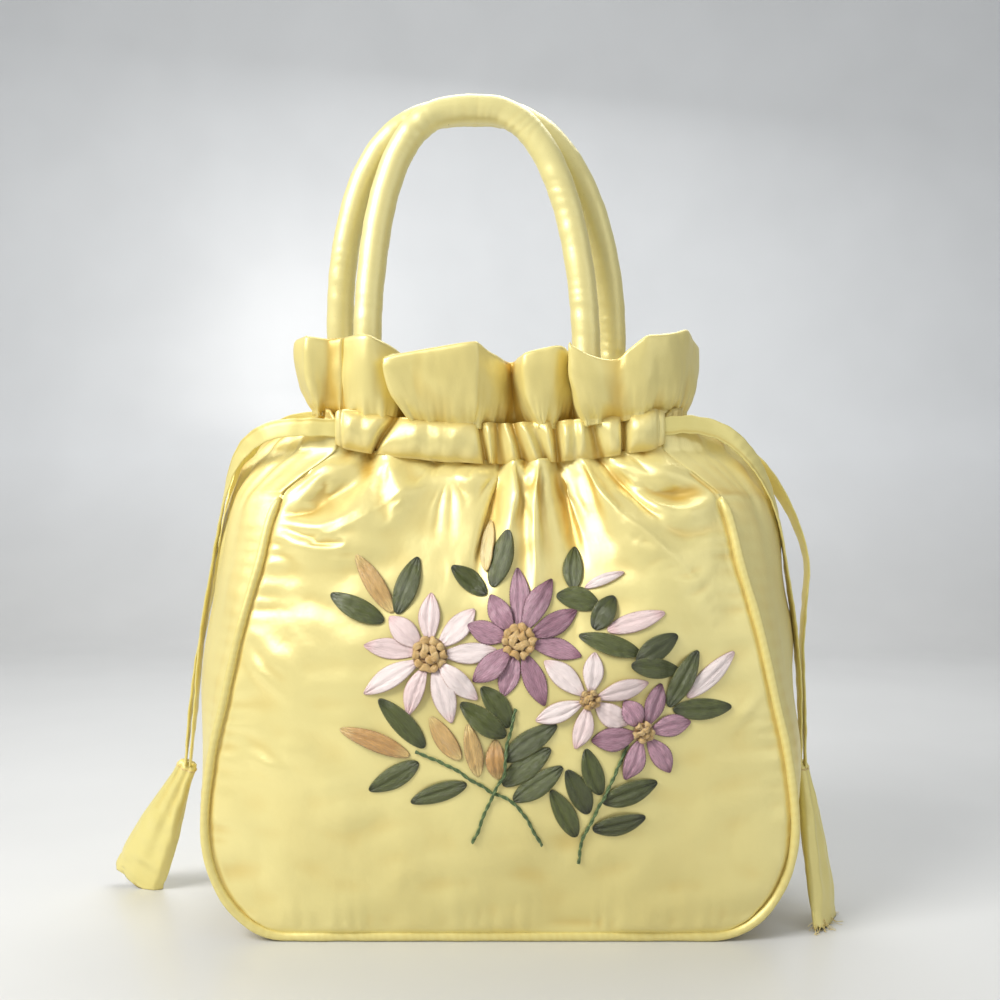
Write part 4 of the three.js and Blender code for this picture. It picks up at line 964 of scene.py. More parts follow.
def makeGusset():
    stations = outlineLine(0.0, casingTop + 1.5, 1.3)
    w = np.linspace(-1, 1, gussetSizes["columns"])
    w = np.sign(w) * np.abs(w) ** 0.9
    x, z, nx, nz = (stations[:, k][:, None] for k in range(4))
    _, halfDepth, _, side = sectionAt(np.minimum(z, casingTop))
    piped = 1 - smooth(z, body["pipingTop"], body["pipingTop"] + 4)
    edge = halfDepth - piped * (0.55 * pipingRadius) + 0.15
    tuck = piped * 0.55 * pipingRadius * smooth(np.abs(w), 0.86, 1)
    out = side * nx**2 * (1 - w * w) - tuck
    out = out - gussetSizes["topTuck"] * smooth(z, casingTop - 7, casingTop - 1) * (1 - w * w)
    climb = smooth(z, 95, casingTop)
    relief = 0 * out
    for top, foot, depth in gussetSizes["creases"]:
        centre = foot + (top * 0.75 - foot) * climb
        relief = relief - depth * hump(w, centre, 0.12 - 0.05 * climb) * climb**1.5
    relief = gussetSizes["creaseHeight"] * relief
    sign = np.sign(x)
    gathers = ripples(74, 0.19, w, z * 0.004 + sign * 3, waves=18) * smooth(z, 148, 186)
    relief = relief + gussetSizes["gatherHeight"] * gathers
    soft = ripples(71, gussetSizes["softPitch"], w * 40, z * 0.8, sign * 30)
    fine = ripples(72, gussetSizes["finePitch"], w * 40, z * 0.5, sign * 30) * (0.3 + 0.7 * climb)
    relief = relief + gussetSizes["softHeight"] * soft + gussetSizes["fineHeight"] * fine
    wander = 3 * ripples(73, 50.0, z, sign * 40)
    pucker = np.sin(2 * np.pi * z / gussetSizes["puckerPitch"] + wander) * np.exp(-(1 - np.abs(w)) / 0.12)
    dart = hump(z, body["pipingTop"] + gussetSizes["dartUp"], 1.1) * smooth(np.abs(w), 0.76, 0.95)
    relief = (relief + gussetSizes["puckerHeight"] * pucker) * (1 - np.abs(w) ** 12) * nx**2
    relief = relief - gussetSizes["dart"] * dart
    out = out + relief
    corner = gussetSizes["cornerDrop"] * smooth(z, casingTop - 9, casingTop + 1.5) * np.abs(w) ** 8
    outer = np.stack([x + nx * out, w * edge + 0 * x, z + nz * out - corner], -1)
    away = np.stack([nx + 0 * w, 0 * nx * w, nz + 0 * w], -1)
    inner = outer - away * gussetSizes["cloth"]
    steps = distanceAlong(stations[:, :2])[:, None]
    shade = np.clip(-foldShade(outer, 12), 0, 1)
    shade = np.maximum(shade, 0.55 * smooth(-nz + 0 * w, 0.4, 1.0))
    shade = np.maximum(shade, 0.5 * smooth(z + 0 * w, casingTop - 12, casingTop - 3))
    piece = makePiece("sideGusset", clothMesh(outer, inner), bodySatin, ["gusset"],
                      weaveOf(outer[..., 1], steps + 0 * w), {"fold": both(shade)})


pipingLook = {"sides": 16, "wrinkle": 0.014, "wrinklePitch": 3.1, "uneven": 0.035, "endTaper": 6.0}


def makePiping(name, node, turn, seed):
    stations = outlineLine(pipingRadius, body["pipingTop"] + 1.5, 1.1)
    _, halfDepth, _, _ = sectionAt(stations[:, 1])
    line = np.stack([stations[:, 0], -turn * halfDepth, stations[:, 1]], 1)
    steps = distanceAlong(line)
    ends = np.minimum(steps, steps[-1] - steps)
    radius = pipingRadius * (0.45 + 0.55 * smooth(ends, -1.0, pipingLook["endTaper"]))
    angle = turnsRound(pipingLook["sides"])
    # the cloth is drawn slantwise over the cord
    drift = 2.2 * ripples(seed, 30.0, steps)[:, None]
    waves = np.sin(2 * np.pi * steps[:, None] / pipingLook["wrinklePitch"] + angle[None] + drift)
    wrinkle = pipingLook["wrinkle"] * waves
    uneven = pipingLook["uneven"] * ripples(seed + 1, 22.0, steps)[:, None]
    size = radius[:, None] * (1 + wrinkle + uneven)
    section = np.stack([np.cos(angle) * size, np.sin(angle) * size], -1)
    rings = ringsAlong(line, np.tile([0.0, 1.0, 0.0], (len(line), 1)), section)
    rings[..., 2] = np.maximum(rings[..., 2], 0.02)
    shade = np.clip(0.12 - 6 * wrinkle, 0, 1)
    makePiece(name, tubeMesh(rings), pipingSatin, [node], ringWeave(angle * 1.7, steps),
              {"fold": shade.ravel()})


makeGusset()
makePiping("frontPiping", "piping_front", 1, 81)
makePiping("backPiping", "piping_back", -1, 85)
print("gusset and piping made")

# ---- neck: the casings over the drawstring and the ruffle

neckHalf = 62.0
casingSizes = {
    "columns": 320, "rows": 26, "tuck": 2.6, "gather": 0.05, "gatherPitch": 2.6, "dent": 0.3, "dentPitch": 9.0,
    "cloth": 0.9, "drawIn": 2.6,
    "endSeam": 2.8, "endHeight": 0.7, "endRound": 4.5,
}
# the gathers from left to right, in mm: x at the top and at the foot, how far each stands out there, and
# whether it is a pleat or a pinch
frontGathers = [
    (-63.8, -63.8, 2.2, 2.2), (-62.6, -62.6, 3.4, 3.4), (-58, -58.5, 4.9, 4.9), (-51, -52, 5.0, 4.8),
    (-44.5, -50, 2.8, 2.8), (-40.5, -49.2, -2.6, -3.4), (-37.5, -46.5, 2.2, 2.4), (-32, -38, 3.8, 4.2),
    (-24, -26, 4.2, 4.4), (-16, -16, 3.8, 4.2), (-10, -8, 2.6, 2.6), (-8, -5.4, -2.2, -2.8),
    (-4.6, -3.2, 2.6, 1.6), (-1, -0.6, -2.6, -2.6), (2.2, 6.0, 2.4, 2.2), (5.0, 9.0, -3.0, -2.6),
    (8.4, 14.5, 2.6, 2.8), (12.6, 17.6, -0.4, -2.0), (17.6, 20.4, 2.2, 2.0), (21.0, 22.6, -3.0, -2.8),
    (24.6, 25.6, 2.8, 2.8), (28.4, 29.0, 1.2, 0.8), (31.0, 33.0, 2.8, 2.4), (34.4, 38.6, -2.4, -2.8),
    (37.4, 41.2, 1.2, 0.8), (41.6, 43.6, 3.4, 3.2), (45.8, 46.4, 2.4, 2.4), (48.0, 47.6, -2.6, -2.6),
    (51.2, 50.6, 4.4, 4.2), (57.4, 57.0, 5.4, 5.2), (62.6, 62.6, 3.4, 3.4), (63.8, 63.8, 2.2, 2.2),
]
backGathers = [
    (-61.5, -61.5, 0.4, 0.6), (-57, -58, 3.6, 4.0), (-51, -52, 3.2, 3.0), (-47, -45, -2.4, -2.8),
    (-42, -41, 3.4, 3.6), (-36, -35, 2.6, 2.6), (-33, -31, -2.6, -2.4), (-28, -28, 3.0, 3.4),
    (-21, -23, 3.4, 3.0), (-17, -18, -2.4, -2.8), (-12, -13, 3.2, 3.4), (-6, -8, 2.8, 2.6),
    (-2, -3, -2.8, -2.4), (4, 2, 3.4, 3.6), (10, 9, 2.6, 2.8), (14, 15, -2.6, -2.8), (20, 20, 3.6, 3.8),
    (26, 25, 3.0, 2.8), (30, 29, -2.2, -2.6), (35, 35, 3.2, 3.6), (41, 40, 3.4, 3.0), (46, 45, -2.8, -2.4),
    (52, 51, 4.0, 4.2), (58, 58, 3.2, 3.6), (61.6, 61.6, 0.4, 0.6),
]


def neckFace(x):
    # how far the neck's cloth stands from the middle plane at x, and the share of the neck's half width
    u = np.clip(x / neckHalf, -1, 1)
    return body["neckDepth"] / 2 + body["neckBelly"] * (1 - np.abs(u) ** 3.5), u


def offHandles(x):
    # 0 where the handles' ends stand inside the neck, 1 away from them
    return smooth(np.minimum(np.abs(x + 53.0), np.abs(x - 34.5)), 8, 11)


def makeCasing(name, node, turn, gathers, neckLine, seed):
    rows, cols = casingSizes["rows"], casingSizes["columns"]
    up = np.linspace(-0.05, 1.05, rows)
    table = smoothPath(gathers, 1200)
    lines = []
    for level in np.clip(up, 0, 1):
        x = table[:, 1] + (table[:, 0] - table[:, 1]) * level
        out = table[:, 3] + (table[:, 2] - table[:, 3]) * level
        lines.append(evenly(np.stack([x, out], 1), cols))
    lines = np.array(lines)
    x, out = lines[..., 0], lines[..., 1]
    cross = np.clip(up, 0, 1)[:, None]
    swell = np.sin(np.pi * np.clip(0.04 + 0.92 * cross, 0, 1)) ** 0.45
    face, u = neckFace(x)
    base = 0.6 - face
    gathered = np.interp(x, neckLine[:, 0], neckLine[:, 1]) - base
    fine = casingSizes["gather"] * ripples(seed, casingSizes["gatherPitch"], x, cross * 2.0, waves=20)
    fine = fine + casingSizes["dent"] * ripples(seed + 1, casingSizes["dentPitch"], x, cross * 9.0, waves=16)
    puff = np.where(out > 0, out * (0.25 + 0.75 * swell), out * (0.8 + 0.2 * swell))
    tuck = casingSizes["tuck"] * (1 - swell) * (1 - np.abs(u) ** 20)
    y = base + 0.15 * gathered * (1 - cross) - puff + tuck - fine
    z = body["casingBottom"] + body["casingHeight"] * cross - sagAt(u, body["casingBottom"])
    z = z + (up - np.clip(up, 0, 1))[:, None] * 8 + 0.35 * ripples(seed + 4, 14.0, x) * swell
    # the ends are rounded, with a seam just inside them
    fromEnd = np.minimum(x - x[:, :1], x[:, -1:] - x)
    middle = body["casingBottom"] + body["casingHeight"] / 2 - sagAt(u, body["casingBottom"])
    low = casingSizes["endHeight"]
    z = middle + (z - middle) * (low + (1 - low) * np.sqrt(np.clip(fromEnd / casingSizes["endRound"], 0, 1)))
    y = y + 0.8 * hump(fromEnd, casingSizes["endSeam"], 0.45)
    outer = np.stack([x, y, z], -1)
    # the inner layer draws in at its foot and top, and closes the hollows between the folds
    edge = 1 - smooth(np.minimum(cross, 1 - cross), 0, 0.2)
    drawn = base + 1.6 + casingSizes["drawIn"] * edge * offHandles(turn * x)
    inner = np.stack([x, np.maximum(y + casingSizes["cloth"], drawn), z], -1)
    hollow = np.clip(-out / 2.6, 0, 1)
    shade = np.clip(0.9 * hollow + 0.75 * (1 - swell), 0, 1)
    piece = makePiece(name, clothMesh(turned(outer, turn), turned(inner, turn)), bodySatin, [node],
                      weaveOf(x * 1.6, z), {"fold": both(shade)})


ruffleSizes = {
    "columns": 1040, "rows": 34, "cloth": 1.2, "flare": 1.9, "swell": 0.8, "footTuck": 1.7, "footShare": -0.07,
    "gather": 0.42, "gatherPitch": 5.2, "wrinkle": 0.30, "wrinklePitch": 20.0, "fine": 0.07, "finePitch": 8.0,
}
# places round the ruffle in mm, from the left of the front: x, y and z on its top edge, then at its foot
frontRuffle = [
    (-81.5, -10, 224.5, -76.5, -9, 197.6), (-77, -21.5, 225.2, -73.0, -17, 197.0),
    (-74.2, -24.2, 225.0, -71.6, -18.6, 196.4), (-67, -20.4, 224.4, -67.6, -17.2, 195.6),
    (-61.8, -22.4, 224.6, -62.6, -20.0, 195.0), (-60.6, -21.4, 224.6, -61.2, -19.6, 194.8),
    (-59.4, -24.0, 224.6, -59.8, -22.0, 194.4), (-51, -30.4, 224.4, -52, -25.0, 193.4),
    (-44.5, -27.0, 222.2, -44, -24.6, 192.6), (-38.5, -16.0, 219.6, -38.4, -17.2, 192.2),
    (-37.8, -14.6, 219.8, -36.8, -16.6, 192.2), (-41.6, -27.0, 217.4, -36.6, -21.4, 192.0),
    (-43.4, -32.4, 215.4, -35.4, -25.2, 191.6), (-42.6, -33.8, 215.6, -34.0, -26.0, 191.6),
    (-26, -34.4, 218.6, -25, -26.6, 191.2), (-10.6, -34.4, 220.9, -10.6, -26.6, 191.0),
    (-7.4, -33.0, 220.6, -8.4, -25.6, 191.0), (-2.4, -26.6, 217.6, -4.0, -22.6, 191.0),
    (3.4, -14.8, 216.4, 4.4, -16.2, 191.0), (5.2, -14.6, 216.6, 7.4, -16.2, 191.0),
    (8.0, -26.6, 217.2, 12.4, -23.4, 191.0), (9.6, -30.2, 217.6, 14.0, -25.2, 191.0),
    (16.5, -29.4, 219.4, 17.0, -26.2, 191.1), (23.2, -27.0, 220.6, 20.6, -23.4, 191.2),
    (28.2, -17.6, 219.6, 27.0, -17.4, 191.4), (29.4, -16.6, 219.0, 28.6, -17.2, 191.5),
    (26.6, -29.6, 220.4, 30.4, -23.6, 191.6), (25.8, -33.0, 220.9, 32.2, -26.4, 191.8),
    (27.2, -34.0, 219.6, 33.8, -27.0, 192.0), (34.2, -34.0, 216.0, 38.4, -26.6, 192.4),
    (43.4, -31.6, 214.7, 44.2, -24.6, 193.2), (48.8, -32.4, 218.6, 49.4, -26.0, 194.0),
    (55.2, -33.0, 223.4, 55.0, -26.6, 195.2), (60.4, -30.6, 224.4, 60.8, -22.6, 196.4),
    (67.6, -25.4, 226.0, 67.6, -18.4, 197.0), (73.6, -18.0, 228.2, 72.2, -13.5, 197.4),
    (78.8, -8.0, 225.0, 76.2, -6.5, 197.6),
]
rightRuffle = [
    (80.4, 2, 223.4, 77.6, 0, 197.8), (76.0, 9, 222.6, 73.6, 6, 197.8), (77.6, 17, 223.6, 74.6, 12, 197.8),
]
backRuffle = [
    (72, 26.4, 224.6, 70.6, 18.4, 197.4), (63, 30.6, 225.2, 62.4, 22.6, 196.4),
    (53, 33.0, 224.2, 53, 25.6, 195.0), (45.6, 29.6, 222.0, 46.8, 23.4, 194.0),
    (41.8, 19.4, 220.4, 42.2, 17.0, 193.2), (43.4, 27.4, 220.6, 40.0, 22.8, 193.0),
    (41.8, 32.0, 220.8, 37.4, 25.4, 192.6), (30, 34.0, 221.4, 28.6, 26.6, 191.8),
    (17, 32.0, 219.4, 17.6, 25.0, 191.4), (12, 18.6, 218.2, 12.0, 16.6, 191.2),
    (8.4, 29.0, 218.6, 7.0, 23.0, 191.0), (2.6, 33.2, 219.2, 1.6, 26.2, 191.0),
    (-12, 34.0, 221.6, -11.4, 26.6, 191.0), (-22.4, 31.4, 220.2, -21.4, 24.8, 191.2),
    (-25.6, 18.0, 218.6, -25.4, 16.8, 191.4), (-23.8, 29.4, 219.8, -28.2, 23.4, 191.8),
    (-26.0, 33.4, 220.0, -31.6, 26.2, 192.0), (-40, 32.6, 222.6, -41.4, 25.2, 193.2),
    (-52, 29.6, 221.4, -51.6, 23.8, 194.6), (-63, 29.6, 224.0, -62.6, 22.2, 196.2),
    (-72, 23.8, 225.0, -71.0, 16.6, 197.4),
]
leftRuffle = [(-79.0, 15, 224.2, -75.4, 10.6, 197.8), (-77.4, 6.4, 223.2, -73.6, 4, 197.8)]


def makeRuffle():
    table = np.array(frontRuffle + rightRuffle + backRuffle + leftRuffle)
    count, rows = ruffleSizes["columns"], ruffleSizes["rows"]
    ring = smoothPath(np.vstack([table[-3:], table, table[:4]]), 14 * (len(table) + 7))
    ring = ring[3 * 14:-3 * 14]
    ring = evenly(ring, count + 1)[:-1]
    ring = (np.roll(ring, 1, 0) + 2 * ring + np.roll(ring, -1, 0)) / 4
    top, foot = ring[None, :, :3], ring[None, :, 3:]
    climb = np.linspace(ruffleSizes["footShare"], 1.0, rows)[:, None]
    up = np.clip(climb, 0, 1)
    flare = (1 - (1 - up) ** ruffleSizes["flare"])[..., None]
    outer = foot + (top - foot) * np.concatenate([flare, flare, climb[..., None]], -1)
    steps = np.cumsum(np.linalg.norm(np.roll(ring[:, :3], -1, 0) - ring[:, :3], axis=1))[None]
    ahead, behind = np.roll(outer, -1, 1), np.roll(outer, 1, 1)
    inward = np.stack([behind[..., 1] - ahead[..., 1], ahead[..., 0] - behind[..., 0], 0 * outer[..., 0]], -1)
    inward /= np.linalg.norm(inward, axis=-1)[..., None]
    # gathers crease the foot, and each fold swells and dents a little above it
    gathers = ripples(57, ruffleSizes["gatherPitch"], steps, up * 5, waves=20)
    gathers = gathers * ruffleSizes["gather"] * (1 - up) ** 5
    wrinkles = ruffleSizes["wrinkle"] * ripples(58, ruffleSizes["wrinklePitch"], steps, up * 30, waves=16)
    wrinkles = wrinkles + ruffleSizes["fine"] * ripples(59, ruffleSizes["finePitch"], steps, up * 12, waves=16)
    swell = ruffleSizes["swell"] * np.sin(np.pi * up) ** 0.8
    outer = outer - inward * (swell + gathers + wrinkles * smooth(up, 0, 0.3))[..., None]
    outer = outer + inward * (ruffleSizes["footTuck"] * (1 - up) ** 6)[..., None]
    rim = np.sqrt(1 - np.clip((climb - 0.955) / 0.047, 0, 0.97) ** 2)
    cloth = ruffleSizes["cloth"]
    inner = outer + inward * (0.5 * cloth * (1 + rim))[..., None]
    outer = outer + inward * (0.5 * cloth * (1 - rim))[..., None]
    # the inner edge of the foot draws in over the casings' hollows
    x, y = inner[..., 0], inner[..., 1]
    draw = (1 - smooth(climb, ruffleSizes["footShare"], 0.0)) * offHandles(x)
    inner[..., 1] = y + draw * (np.sign(y) * np.minimum(np.abs(y), neckFace(x)[0] - 4.8) - y)
    around = sum(np.roll(outer, k, 1) for k in (-18, -11, -6, 6, 11, 18)) / 6
    hollow = ((around - outer) * -inward).sum(-1)
    shade = np.clip(hollow / 1.9 + 0.4 * (1 - up) ** 3, 0, 1)
    piece = makePiece("neckRuffle", clothMesh(outer, inner, True), ruffleSatin, ["ruffle"],
                      weaveOf(steps + 0 * up, up * 27 + 0 * steps), {"fold": both(shade)})


makeCasing("frontCasing", "casing_front", 1, frontGathers, frontNeck, 3)
makeCasing("backCasing", "casing_back", -1, backGathers, backNeck, 8)
makeRuffle()
print("neck made")

# ---- stuffed tube handles

handleSizes = {
    "diameter": 11.6, "sink": 11.0, "spacing": 13.4, "squareLeft": 3.0, "squareRight": 2.5, "pinchPower": 6,
    "rows": 420, "sides": 36, "lump": 0.015, "lumpPitch": 30.0, "wrinkle": 0.020, "wrinklePitch": 4.2,
    "seamTurn": 0.6, "seamDepth": 0.06, "stitch": 0.014, "stitchPitch": 3.0, "slant": 0.012, "slantPitch": 13.0,
}
handles = {
    "frontHandle": {"node": "handle_front", "facing": -1, "middle": -9.5, "left": 44, "right": 45, "rise": 134,
                    "pinch": 0.05},
    "backHandle": {"node": "handle_back", "facing": 1, "middle": -10, "left": 59, "right": 60, "rise": 138,
                   "pinch": 0.24},
}


def handleLine(shape, seat, count):
    angle = np.pi * (1 - np.linspace(0, 1, count))
    isLeft = angle > np.pi / 2
    power = 2 / np.where(isLeft, handleSizes["squareLeft"], handleSizes["squareRight"])
    up = np.abs(np.sin(angle)) ** power
    across = np.sign(np.cos(angle)) * np.abs(np.cos(angle)) ** power
    narrow = 1 - shape["pinch"] * (1 - up) ** handleSizes["pinchPower"]
    x = shape["middle"] + across * narrow * np.where(isLeft, shape["left"], shape["right"])
    y = shape["facing"] * (seat + (handleSizes["spacing"] / 2 - seat) * smooth(up, 0.1, 1))
    return np.stack([x, y, casingTop - handleSizes["sink"] + shape["rise"] * up], 1)


def makeHandle(name, shape, seed):
    low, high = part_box(shape["node"])
    radius = handleSizes["diameter"] / 2
    seat = max(abs(low.y), abs(high.y)) * 1000 - radius
    line = evenly(handleLine(shape, seat, 1600), handleSizes["rows"])
    steps = distanceAlong(line)
    ss, aa = np.meshgrid(steps, turnsRound(handleSizes["sides"]), indexing="ij")
    # the stuffing is a little uneven, the inside of the bend wrinkles and a seam runs along it
    lumps = handleSizes["lump"] * ripples(seed, handleSizes["lumpPitch"], ss, np.cos(aa) * 6, np.sin(aa) * 6)
    curve = np.linalg.norm(np.gradient(np.gradient(line, axis=0), axis=0), axis=1)
    bend = np.clip(curve / max(np.percentile(curve, 90), 1e-6), 0.12, 1)
    bend = np.convolve(np.pad(bend, 12, mode="edge"), np.ones(25) / 25, "valid")[:, None]
    side = 0.5 + 0.5 * np.cos(aa)
    wander = 2.6 * ripples(seed + 1, 22.0, ss, np.cos(aa) * 5) + 0.6 * np.sin(aa)
    wrinkles = handleSizes["wrinkle"] * np.sin(2 * np.pi * ss / handleSizes["wrinklePitch"] + wander)
    wrinkles = wrinkles * (0.25 + 0.75 * bend * side) * (0.6 + 0.4 * ripples(seed + 2, 35.0, ss))
    seam = -handleSizes["seamDepth"] * hump(aa, handleSizes["seamTurn"], 0.10)
    stitches = np.sin(2 * np.pi * ss / handleSizes["stitchPitch"]) * hump(aa, handleSizes["seamTurn"], 0.3)
    stitches = handleSizes["stitch"] * stitches
    slant = np.sin(2 * np.pi * (ss / handleSizes["slantPitch"] + aa / 6.28) + ripples(seed + 3, 40.0, ss))
    slant = handleSizes["slant"] * slant
    size = radius * (1 + lumps + wrinkles + seam + stitches + slant - 0.02)
    section = np.stack([-np.cos(aa) * size, np.sin(aa) * size], -1)
    rings = ringsAlong(line, np.tile([0.0, 1.0, 0.0], (len(line), 1)), section)
    shade = np.clip(-8 * (wrinkles + seam + 0.5 * stitches), 0, 1)
    weave = ringWeave(aa[0] * radius, steps)
    piece = makePiece(name, tubeMesh(rings), handleSatin, [shape["node"]], weave, {"fold": shade.ravel()})


for seed, (name, shape) in enumerate(handles.items()):
    makeHandle(name, shape, 91 + 7 * seed)
print("handles made")

# ---- ribbon embroidery

spray = {
    "width": 148.5, "height": 122.0, "left": -61.5, "bottom": 31.0,
    "leafLength": 22.0, "leafWidth": 7.8, "budLength": 25.0, "budWidth": 6.8,
    "petalLength": 25.0, "petalWidth": 8.0, "stemWidth": 1.7, "ribbon": 0.3, "layer": 0.75, "apart": 0.15,
    "stitchRows": 46, "stitchColumns": 13, "threadRadius": 0.36, "threadPitch": 6.5,
}
# where each single stitch starts, as shares of the spray, the way it points and its share of the full length
leaves = [
    (0.131, 0.706, 154, 1), (0.163, 0.728, 71, 0.97), (0.381, 0.784, 142, 0.74), (0.396, 0.806, 74, 0.98),
    (0.596, 0.797, 86, 0.7), (0.656, 0.754, 168, 0.71), (0.642, 0.684, 56, 0.64), (0.753, 0.614, 164, 1.03),
    (0.742, 0.588, 32, 0.82), (0.728, 0.58, 353, 0.83), (0.821, 0.458, 60, 1.03), (0.832, 0.449, 1, 0.99),
    (0.235, 0.349, 135, 1.06), (0.22, 0.305, 210, 0.92), (0.335, 0.245, 199, 0.95), (0.438, 0.406, 126, 0.78),
    (0.428, 0.379, 144, 0.9), (0.424, 0.31, 34, 1.02), (0.421, 0.24, 37, 0.96), (0.446, 0.197, 34, 0.95),
    (0.624, 0.158, 116, 0.78), (0.596, 0.088, 118, 0.87), (0.653, 0.214, 108, 0.76), (0.657, 0.192, 18, 0.94),
    (0.635, 0.11, 13, 0.87),
]
tanBuds = [
    (0.152, 0.732, 124, 1), (0.199, 0.323, 160, 1.06), (0.32, 0.314, 126, 0.73), (0.363, 0.266, 102, 0.74),
    (0.41, 0.258, 94, 0.55), (0.381, 0.85, 85, 0.76),
]
pinkBuds = [(0.624, 0.802, 22, 0.62), (0.675, 0.68, 17, 0.87), (0.868, 0.484, 40, 0.96)]
stems = [
    [(0.213, 0.336), (0.299, 0.292), (0.385, 0.227), (0.456, 0.179), (0.514, 0.062)],
    [(0.453, 0.458), (0.431, 0.353), (0.421, 0.266), (0.396, 0.21), (0.349, 0.07)],
    [(0.718, 0.353), (0.685, 0.266), (0.642, 0.162), (0.61, 0.075), (0.603, 0.005)],
]
# each flower's middle, the size of its knots, and its petals as (degrees, share of the full length)
flowers = {
    "whiteFlowerLeft": ("flower_white_left", (0.245, 0.61), 0.26, [
        (90, 0.87), (138, 0.8), (172, 0.96), (210, 1.08), (250, 0.88), (289, 0.99), (318, 0.92), (4, 0.96),
        (45, 0.9)]),
    "whiteFlowerRight": ("flower_white_right", (0.628, 0.484), 0.14, [
        (82, 0.66), (140, 0.83), (201, 0.82), (253, 0.71), (15, 0.88), (328, 0.65)]),
    "smallMauveFlower": ("flower_mauve_small", (0.757, 0.388), 0.15, [
        (68, 0.73), (121, 0.52), (188, 0.75), (10, 0.71), (247, 0.7), (304, 0.69)]),
    "largeMauveFlower": ("flower_mauve_large", (0.46, 0.649), 0.25, [
        (91, 1.04), (61, 1), (27, 0.95), (347, 0.92), (292, 0.96), (253, 0.8), (220, 0.86), (164, 0.77),
        (122, 0.77)]),
}


def panelMap(grid, spacing=1.5):
    # the front panel's depth on a regular grid, so that stitches can lie on it
    rows, cols = grid.shape[:2]
    tree = BVHTree.FromPolygons([Vector(v) for v in grid.reshape(-1, 3)], gridQuads(rows, cols).tolist())
    xs, zs = np.arange(-80, 104, spacing), np.arange(18, 172, spacing)
    depth = np.zeros((len(zs), len(xs)))
    for i, z in enumerate(zs):
        for j, x in enumerate(xs):
            hit = tree.ray_cast(Vector((x, -200, z)), Vector((0, 1, 0)))[0]
            depth[i, j] = hit.y if hit else -30.0
    for _ in range(2):
        padded = np.pad(depth, 1, mode="edge")
        depth = (padded[:-2, 1:-1] + padded[2:, 1:-1] + padded[1:-1, :-2] + padded[1:-1, 2:] + 2 * depth) / 6
    return xs, zs, depth


mapX, mapZ, mapDepth = panelMap(frontGrid)


def gridPlace(value, marks):
    # the grid line below each value, and the share of the way to the next one
    at = np.clip((value - marks[0]) / (marks[1] - marks[0]), 0, len(marks) - 1.001)
    return at.astype(int), at - at.astype(int)


def depthAt(x, z):
    i, a = gridPlace(z, mapZ)
    j, b = gridPlace(x, mapX)
    low = mapDepth[i, j] * (1 - b) + mapDepth[i, j + 1] * b
    high = mapDepth[i + 1, j] * (1 - b) + mapDepth[i + 1, j + 1] * b
    return low * (1 - a) + high * a


def onPanel(x, z, lift):
    step = 0.8
    slopeX = (depthAt(x + step, z) - depthAt(x - step, z)) / (2 * step)
    slopeZ = (depthAt(x, z + step) - depthAt(x, z - step)) / (2 * step)
    normal = np.stack([slopeX, -np.ones_like(x), slopeZ], -1)
    normal /= np.linalg.norm(normal, axis=-1)[..., None]
    return np.stack([x, depthAt(x, z), z], -1) + normal * np.asarray(lift)[..., None]


def sprayPlace(across, up):
    return spray["left"] + across * spray["width"], spray["bottom"] + up * spray["height"]


sewn = []  # rows of x, z, half width and height of what is already sewn


def liftOver(x, z, half):
    # how high a stitch must lie to pass over those already sewn
    if not sewn:
        return np.full(len(x), spray["apart"])
    done = np.array(sewn)
    apart = np.hypot(x[:, None] - done[:, 0], z[:, None] - done[:, 1])
    close = apart < (half[:, None] + done[:, 2]) * 0.8
    return np.where(close, done[:, 3], 0).max(1) + spray["apart"]


def ribbonHalf(t, wide):
    return wide / 2 * (0.12 + 0.88 * np.sin(np.pi * t**0.9) ** 0.7)


def petalHalf(t, wide):
    return wide / 2 * (0.09 + 0.91 * np.sin(np.pi * np.clip(t, 0, 1) ** 1.12) ** 0.85)


def ribbonMarks(across, along, tint):
    return {"across": both(across), "along": both(along), "tint": np.full(across.size * 2, tint)}


